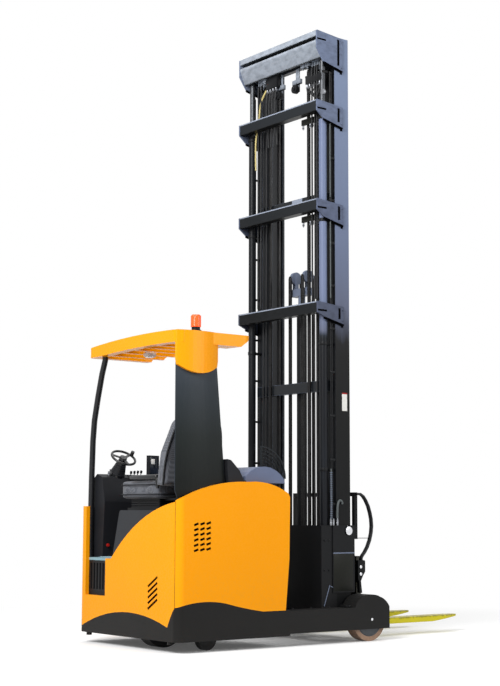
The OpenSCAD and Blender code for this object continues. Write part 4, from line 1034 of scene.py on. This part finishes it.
class TRUCK_OT_mast_fittings(bpy.types.Operator):
    """Makes the outer mast's bolts, black strips of painted shadow in its slots, notches and under its
    plates, pins, plates, clamps, blank label, guards and short hoses
    """

    bl_idname = "reach_truck.mast_fittings"
    bl_label = "Mast fittings"

    def execute(self, context):
        bm = bmesh.new()
        dark = bmesh.new()
        for top, drop in BEAMS:
            foot = top - drop
            for side in (-1, 1):
                y = side * 494
                add_bolts(bm, [(1604, y, top - 50), (1604, y, foot + 4)], (0, side, 0), 12, 5)
                # Painted shadow: matt black strips stand for the shade in each bracket's slot, the notch by
                # its beam and under its plate's lower edge
                add_block(dark, (1563, side * 480.2, foot + 12), (1584, side * 495, top - 38), 0.5)
                add_block(dark, (1359, side * 490, top - 74), (1448, side * 495, top - 60), 0.5)
                add_rod(dark, (1426, side * 487, foot + 14), (1617, side * 487, foot - 31), 12, 4, 1)
                add_block(dark, (1600, side * 481, foot - 50), (1618, side * 487, foot - 27), 1)
        finish_piece("Bracket.bolts", bm, "beam", "reach")
        finish_piece("Bracket.painted.shadows", dark, "void", "reach")

        bm = bmesh.new()
        for side in (-1, 1):
            add_rod(bm, (1656, side * 496, 810), (1656, side * 499, 810), 32, 40, 1.2)
        finish_piece("Tilt.pin.ends", bm, "pin", "reach")
        bm = bmesh.new()
        for side in (-1, 1):
            add_block(bm, (1503, side * 490, 641), (1715, side * 492, 650), 0.6)
        finish_piece("Cheek.weld.strips", bm, "head", "reach")
        bm = bmesh.new()
        for side in (-1, 1):
            add_block(bm, (1506, side * 490.4, 366), (1700, side * 491.6, 640), 0.4)
        finish_piece("Cheek.wear.plates", bm, "olive", "reach")

        bm = bmesh.new()
        for y in (-BARREL_Y, BARREL_Y):
            for z in (1250, 2200, 3150):
                add_rod(bm, (BARREL_X, y, z), (BARREL_X, y, z + 26), 34, 28, 2)
                add_block(bm, (1470, y - 14, z + 3), (1543, y + 14, z + 23), 3)
            add_rod(bm, (BARREL_X, y, 3952), (BARREL_X, y, 3980), 37, 28, 3)
            add_rod(bm, (BARREL_X, y, 3980), (BARREL_X, y, 3996), 33, 6, 2)
        finish_piece("Cylinder.clamps", bm, "black", "reach")

        bm = bmesh.new()
        add_block(bm, (1607, -481.2, 1709), (1657, -480, 1836), 0)
        finish_piece("Blank.label", bm, "label", "reach")
        bm = bmesh.new()
        add_block(bm, (1607, -481.2, 1836.5), (1657, -480, 1846), 0)
        finish_piece("Label.strip", bm, "red", "reach")

        hook = [(1549, -486, 905), (1549, -486, 960), (1552, -487, 1015), (1572, -487, 1042),
                (1594, -487, 1032), (1600, -486, 1008)]
        hoses("Hook.hose", [hook], 9, "grey_hose", "reach")
        bm = bmesh.new()
        for x in (1484, 1510, 1549):
            add_coupling(bm, (x, -486, 850), (0, 0, 1), 7, 50)
        finish_piece("Hose.couplings", bm, "steel", "reach")
        guarded = [(1489, -488, z) for z in (900, 1000, 1150, 1270)]
        hoses("Spiral.guard.hose", [guarded], 6, "grey_hose", "reach")
        bm = bmesh.new()
        for i in range(22):
            add_ring(bm, (1489, -488, 905 + 16 * i), (0, 0, 1), 8, 3, 16, 6)
        finish_piece("Spiral.guard", bm, "head", "reach")
        bm = bmesh.new()
        add_rod(bm, (1473, -486, 413), (1418, -486, 258), 3.5, 16, 1)
        add_rod(bm, (1473, -486, 405), (1512, -486, 392), 3.5, 16, 1)
        finish_piece("Guard.bar", bm, "head", "reach")

        bm = bmesh.new()
        for side in (-1, 1):
            y = side * 483
            add_bolts(bm, [(x, y, z) for x in (1425, 1470) for z in (520, 740)], (0, side, 0), 12, 5)
        finish_piece("Side.plate.bolts", bm, "black", "reach")
        return {"FINISHED"}


class TRUCK_OT_cab(bpy.types.Operator):
    """Makes the cab's column boot, levers, button, switches, mat, display, lamp and screen mesh"""

    bl_idname = "reach_truck.cab"
    bl_label = "Cab"

    def execute(self, context):
        tilt = math.radians(35)
        axis = Vector((0, -math.sin(tilt), math.cos(tilt)))
        hub = Vector((235, 420, 1345))
        bm = bmesh.new()
        for i in range(6):
            add_ring(bm, hub - axis * (58 + 14 * i), axis, 34 + 3.2 * i, 6, 36, 10)
        finish_piece("Column.boot", bm, "cab", "chassis")

        bm = bmesh.new()
        for x, y, z in [(330 + 30 * i, 470, 1206 + 2 * i) for i in range(4)]:
            add_rod(bm, (x, y, z), (x, y - 8, z + 26), 3.5, 10, 0.5)
            add_rod(bm, (x, y - 7, z + 22), (x, y - 12, z + 44), 9, 18, 4)
            add_ring(bm, (x, y, z + 4), (0, 0, 1), 10, 4, 24, 8)
        finish_piece("Finger.levers", bm, "cab", "chassis")

        bm = bmesh.new()
        add_rod(bm, (118, 440, 703), (118, 426, 703), 12, 24, 3)
        finish_piece("Stop.button", bm, "red", "chassis")
        bm = bmesh.new()
        add_rod(bm, (160, 505, 1208), (160, 499, 1226), 12, 20, 2)
        add_block(bm, (154, 490, 1222), (166, 508, 1246), 2)
        for i in range(5):
            add_block(bm, (330 + i * 26, 505, 1214), (350 + i * 26, 523, 1224), 2)
        finish_piece("Key.and.switches", bm, "steel", "chassis")

        bm = bmesh.new()
        add_block(bm, (34, 240, 614), (560, 428, 619), 2)
        for i in range(26):
            add_block(bm, (44 + i * 20, 246, 618), (54 + i * 20, 422, 622), 1)
        finish_piece("Floor.mat", bm, "mat", "chassis")

        # The screen is made round the frame's origin, which is at -REAR, turned, and moved to its bracket
        # The pale patch on the dark screen is a painted reflection
        turn = Matrix.Rotation(math.radians(12), 4, "Z")
        for name, lo, hi, key in (
            ("Display.screen", (-45, -16.2, 10), (45, -14.5, 138), "glass"),
            ("Display.painted.reflection", (-34, -16.8, 84), (4, -16, 122), "label"),
        ):
            bm = bmesh.new()
            add_block(bm, (lo[0] - REAR, lo[1], lo[2]), (hi[0] - REAR, hi[1], hi[2]), 0.3)
            bmesh.ops.transform(bm, matrix=Matrix.Translation(at(437, 330, 1216)) @ turn, verts=bm.verts)
            finish_piece(name, bm, key, "chassis")

        bm = bmesh.new()
        add_block(bm, (140, -28, 2062), (220, 28, 2092), 8, 3)
        for x in (150, 210):
            add_rod(bm, (x, 0, 2090), (x, 0, 2102), 6, 12, 1)
        finish_piece("Roof.lamp", bm, "label", "chassis")
        bm = bmesh.new()
        add_block(bm, (150, -22, 2056), (210, 22, 2063), 5, 3)
        finish_piece("Roof.lamp.lens", bm, "pin", "chassis")

        # Wires every 15 mm inside the quarter round screen on the hood, of 224 mm radius
        bm = bmesh.new()
        x, y, z = 765, -556, 1185
        for reach in range(15, 225, 15):
            span = math.sqrt(224**2 - reach**2)
            add_rod(bm, (x + reach, y, z + 3), (x + reach, y, z + span), 1.1, 6, 0)
            add_rod(bm, (x + 3, y, z + reach), (x + span, y, z + reach), 1.1, 6, 0)
        finish_piece("Screen.mesh", bm, "black", "chassis")
        return {"FINISHED"}


# Axles of the load wheels and of the drive wheel: their places along the truck and above the floor
LOAD_AXLE, DRIVE_AXLE = (1757, 160), (232, 171)
# Outer side of the truck, and middle and half width of a load wheel, across the truck
SIDE, WHEEL_Y, WHEEL_HALF = 635, 560, 44


class TRUCK_OT_chassis_fittings(bpy.types.Operator):
    """Makes the pin caps, the cover seam, the vents' screens and the bolts and stops of the legs"""

    bl_idname = "reach_truck.chassis_fittings"
    bl_label = "Chassis fittings"

    def execute(self, context):
        bm = bmesh.new()
        for side in (-1, 1):
            x, z = LOAD_AXLE
            add_rod(bm, (x, side * (SIDE - 3), z), (x, side * (SIDE + 0.05), z), 10, 24, 0)
        finish_piece("Wheel.pin.caps", bm, "pin", "chassis")
        bm = bmesh.new()
        add_block(bm, (2.4, -598, 302), (4.6, -595, 1012), 0.3)
        finish_piece("Cover.seam", bm, "olive", "chassis")

        bm = bmesh.new()
        for i in range(5):
            add_turned_block(bm, (16, -334, 316 + i * 38), (27, 135.4, 16.4), "X", -31)
        for row in range(6):
            for column in range(3):
                place = (152 + column * 52, 16 - SIDE, 686 + row * 35 + column * 4)
                add_turned_block(bm, place, (39.4, 27, 15.4), "Y", -18)
        finish_piece("Vent.screens", bm, "void", "chassis")

        bm = bmesh.new()
        for side in (-1, 1):
            y = side * 617
            spots = [(x, y, 262) for x in (1010, 1180, 1350, 1520)]
            add_bolts(bm, spots, (0, 0, 1), 12, 5)
            add_block(bm, (1560, side * 500, 250), (1576, side * 600, 268), 3)
        finish_piece("Leg.bolts", bm, "black", "chassis")
        return {"FINISHED"}


class TRUCK_OT_wheel_fittings(bpy.types.Operator):
    """Makes the wheels' nuts, hub cap and edge rings"""

    bl_idname = "reach_truck.wheel_fittings"
    bl_label = "Wheel fittings"

    def execute(self, context):
        for side, name in ((-1, "right"), (1, "left")):
            bm = bmesh.new()
            x, z = LOAD_AXLE
            for way in (side, -side):
                y = side * WHEEL_Y + way * WHEEL_HALF
                add_ring(bm, (x, y, z), (0, 1, 0), 42, 4, 40, 8)
                add_ring(bm, (x, y, z), (0, 1, 0), 118, 3, 56, 8)
                for i in range(6):
                    turn = math.pi * i / 3
                    place = (x + 78 * math.cos(turn), y, z + 78 * math.sin(turn))
                    add_hex_bolt(bm, place, (0, way, 0), 10, 2)
            finish_piece("Load.wheel.rings." + name, bm, "dark_steel", "load_wheel_" + name)
        bm = bmesh.new()
        x, z = DRIVE_AXLE
        y = -150
        for i in range(7):
            turn = 2 * math.pi * i / 7
            add_hex_bolt(bm, (x + 62 * math.cos(turn), y, z + 62 * math.sin(turn)), (0, -1, 0), 20, 12)
        add_ring(bm, (x, y, z), (0, 1, 0), 100, 4, 48, 8)
        add_rod(bm, (x, y + 2, z), (x, y - 12, z), 34, 32, 3)
        finish_piece("Drive.wheel.nuts", bm, "dark_steel", "drive_wheel")
        return {"FINISHED"}


class TRUCK_OT_carriage_fittings(bpy.types.Operator):
    """Makes the bolts and the hose bracket's pins of the fork carriage"""

    bl_idname = "reach_truck.carriage_fittings"
    bl_label = "Carriage fittings"

    def execute(self, context):
        bm = bmesh.new()
        for y in (-355, 355):
            for z in (780, 870, 960, 1050):
                add_hex_bolt(bm, (1854.5, y, z), (1, 0, 0), 11, 5)
        add_rod(bm, (1850, -366, 752), (1950, -388, 752), 2.5, 8, 0)
        for y in (-274, 274):
            add_hex_bolt(bm, (1895, y, 616), (0, 0, 1), 20, 10)
        finish_piece("Carriage.bolts", bm, "black", "side_shift")
        bm = bmesh.new()
        for z in (482, 536):
            add_rod(bm, (1852, -410.5, z), (1852, -408, z), 12, 24, 1)
            add_rod(bm, (1852, -380, z), (1852, -377.5, z), 12, 24, 1)
            add_rod(bm, (1852, -409, z), (1852, -379, z), 9, 20, 0)
        finish_piece("Bracket.pins", bm, "pin", "side_shift")
        return {"FINISHED"}


OPERATORS = [
    TRUCK_OT_stage, TRUCK_OT_finishes, TRUCK_OT_seat, TRUCK_OT_cab, TRUCK_OT_chains, TRUCK_OT_mast_hoses,
    TRUCK_OT_mast_fittings, TRUCK_OT_chassis_fittings, TRUCK_OT_wheel_fittings, TRUCK_OT_carriage_fittings,
]


class TRUCK_PT_panel(bpy.types.Panel):
    """The truck's pieces, in the order in which they are made"""

    bl_idname = "TRUCK_PT_panel"
    bl_label = "Reach truck"
    bl_space_type = "VIEW_3D"
    bl_region_type = "UI"
    bl_category = "Reach truck"

    def draw(self, context):
        for operator in OPERATORS:
            self.layout.operator(operator.bl_idname)
        for name in TruckLook.__annotations__:
            self.layout.prop(context.scene.truck_look, name)


def register():
    for cls in [TruckLook, *OPERATORS, TRUCK_PT_panel]:
        bpy.utils.register_class(cls)
    bpy.types.Scene.truck_look = bpy.props.PointerProperty(type=TruckLook)


def unregister():
    del bpy.types.Scene.truck_look
    for cls in reversed([TruckLook, *OPERATORS, TRUCK_PT_panel]):
        bpy.utils.unregister_class(cls)


def main():
    register()
    for operator in OPERATORS:
        group, name = operator.bl_idname.split(".")
        getattr(getattr(bpy.ops, group), name)()


if __name__ == "__main__":
    main()
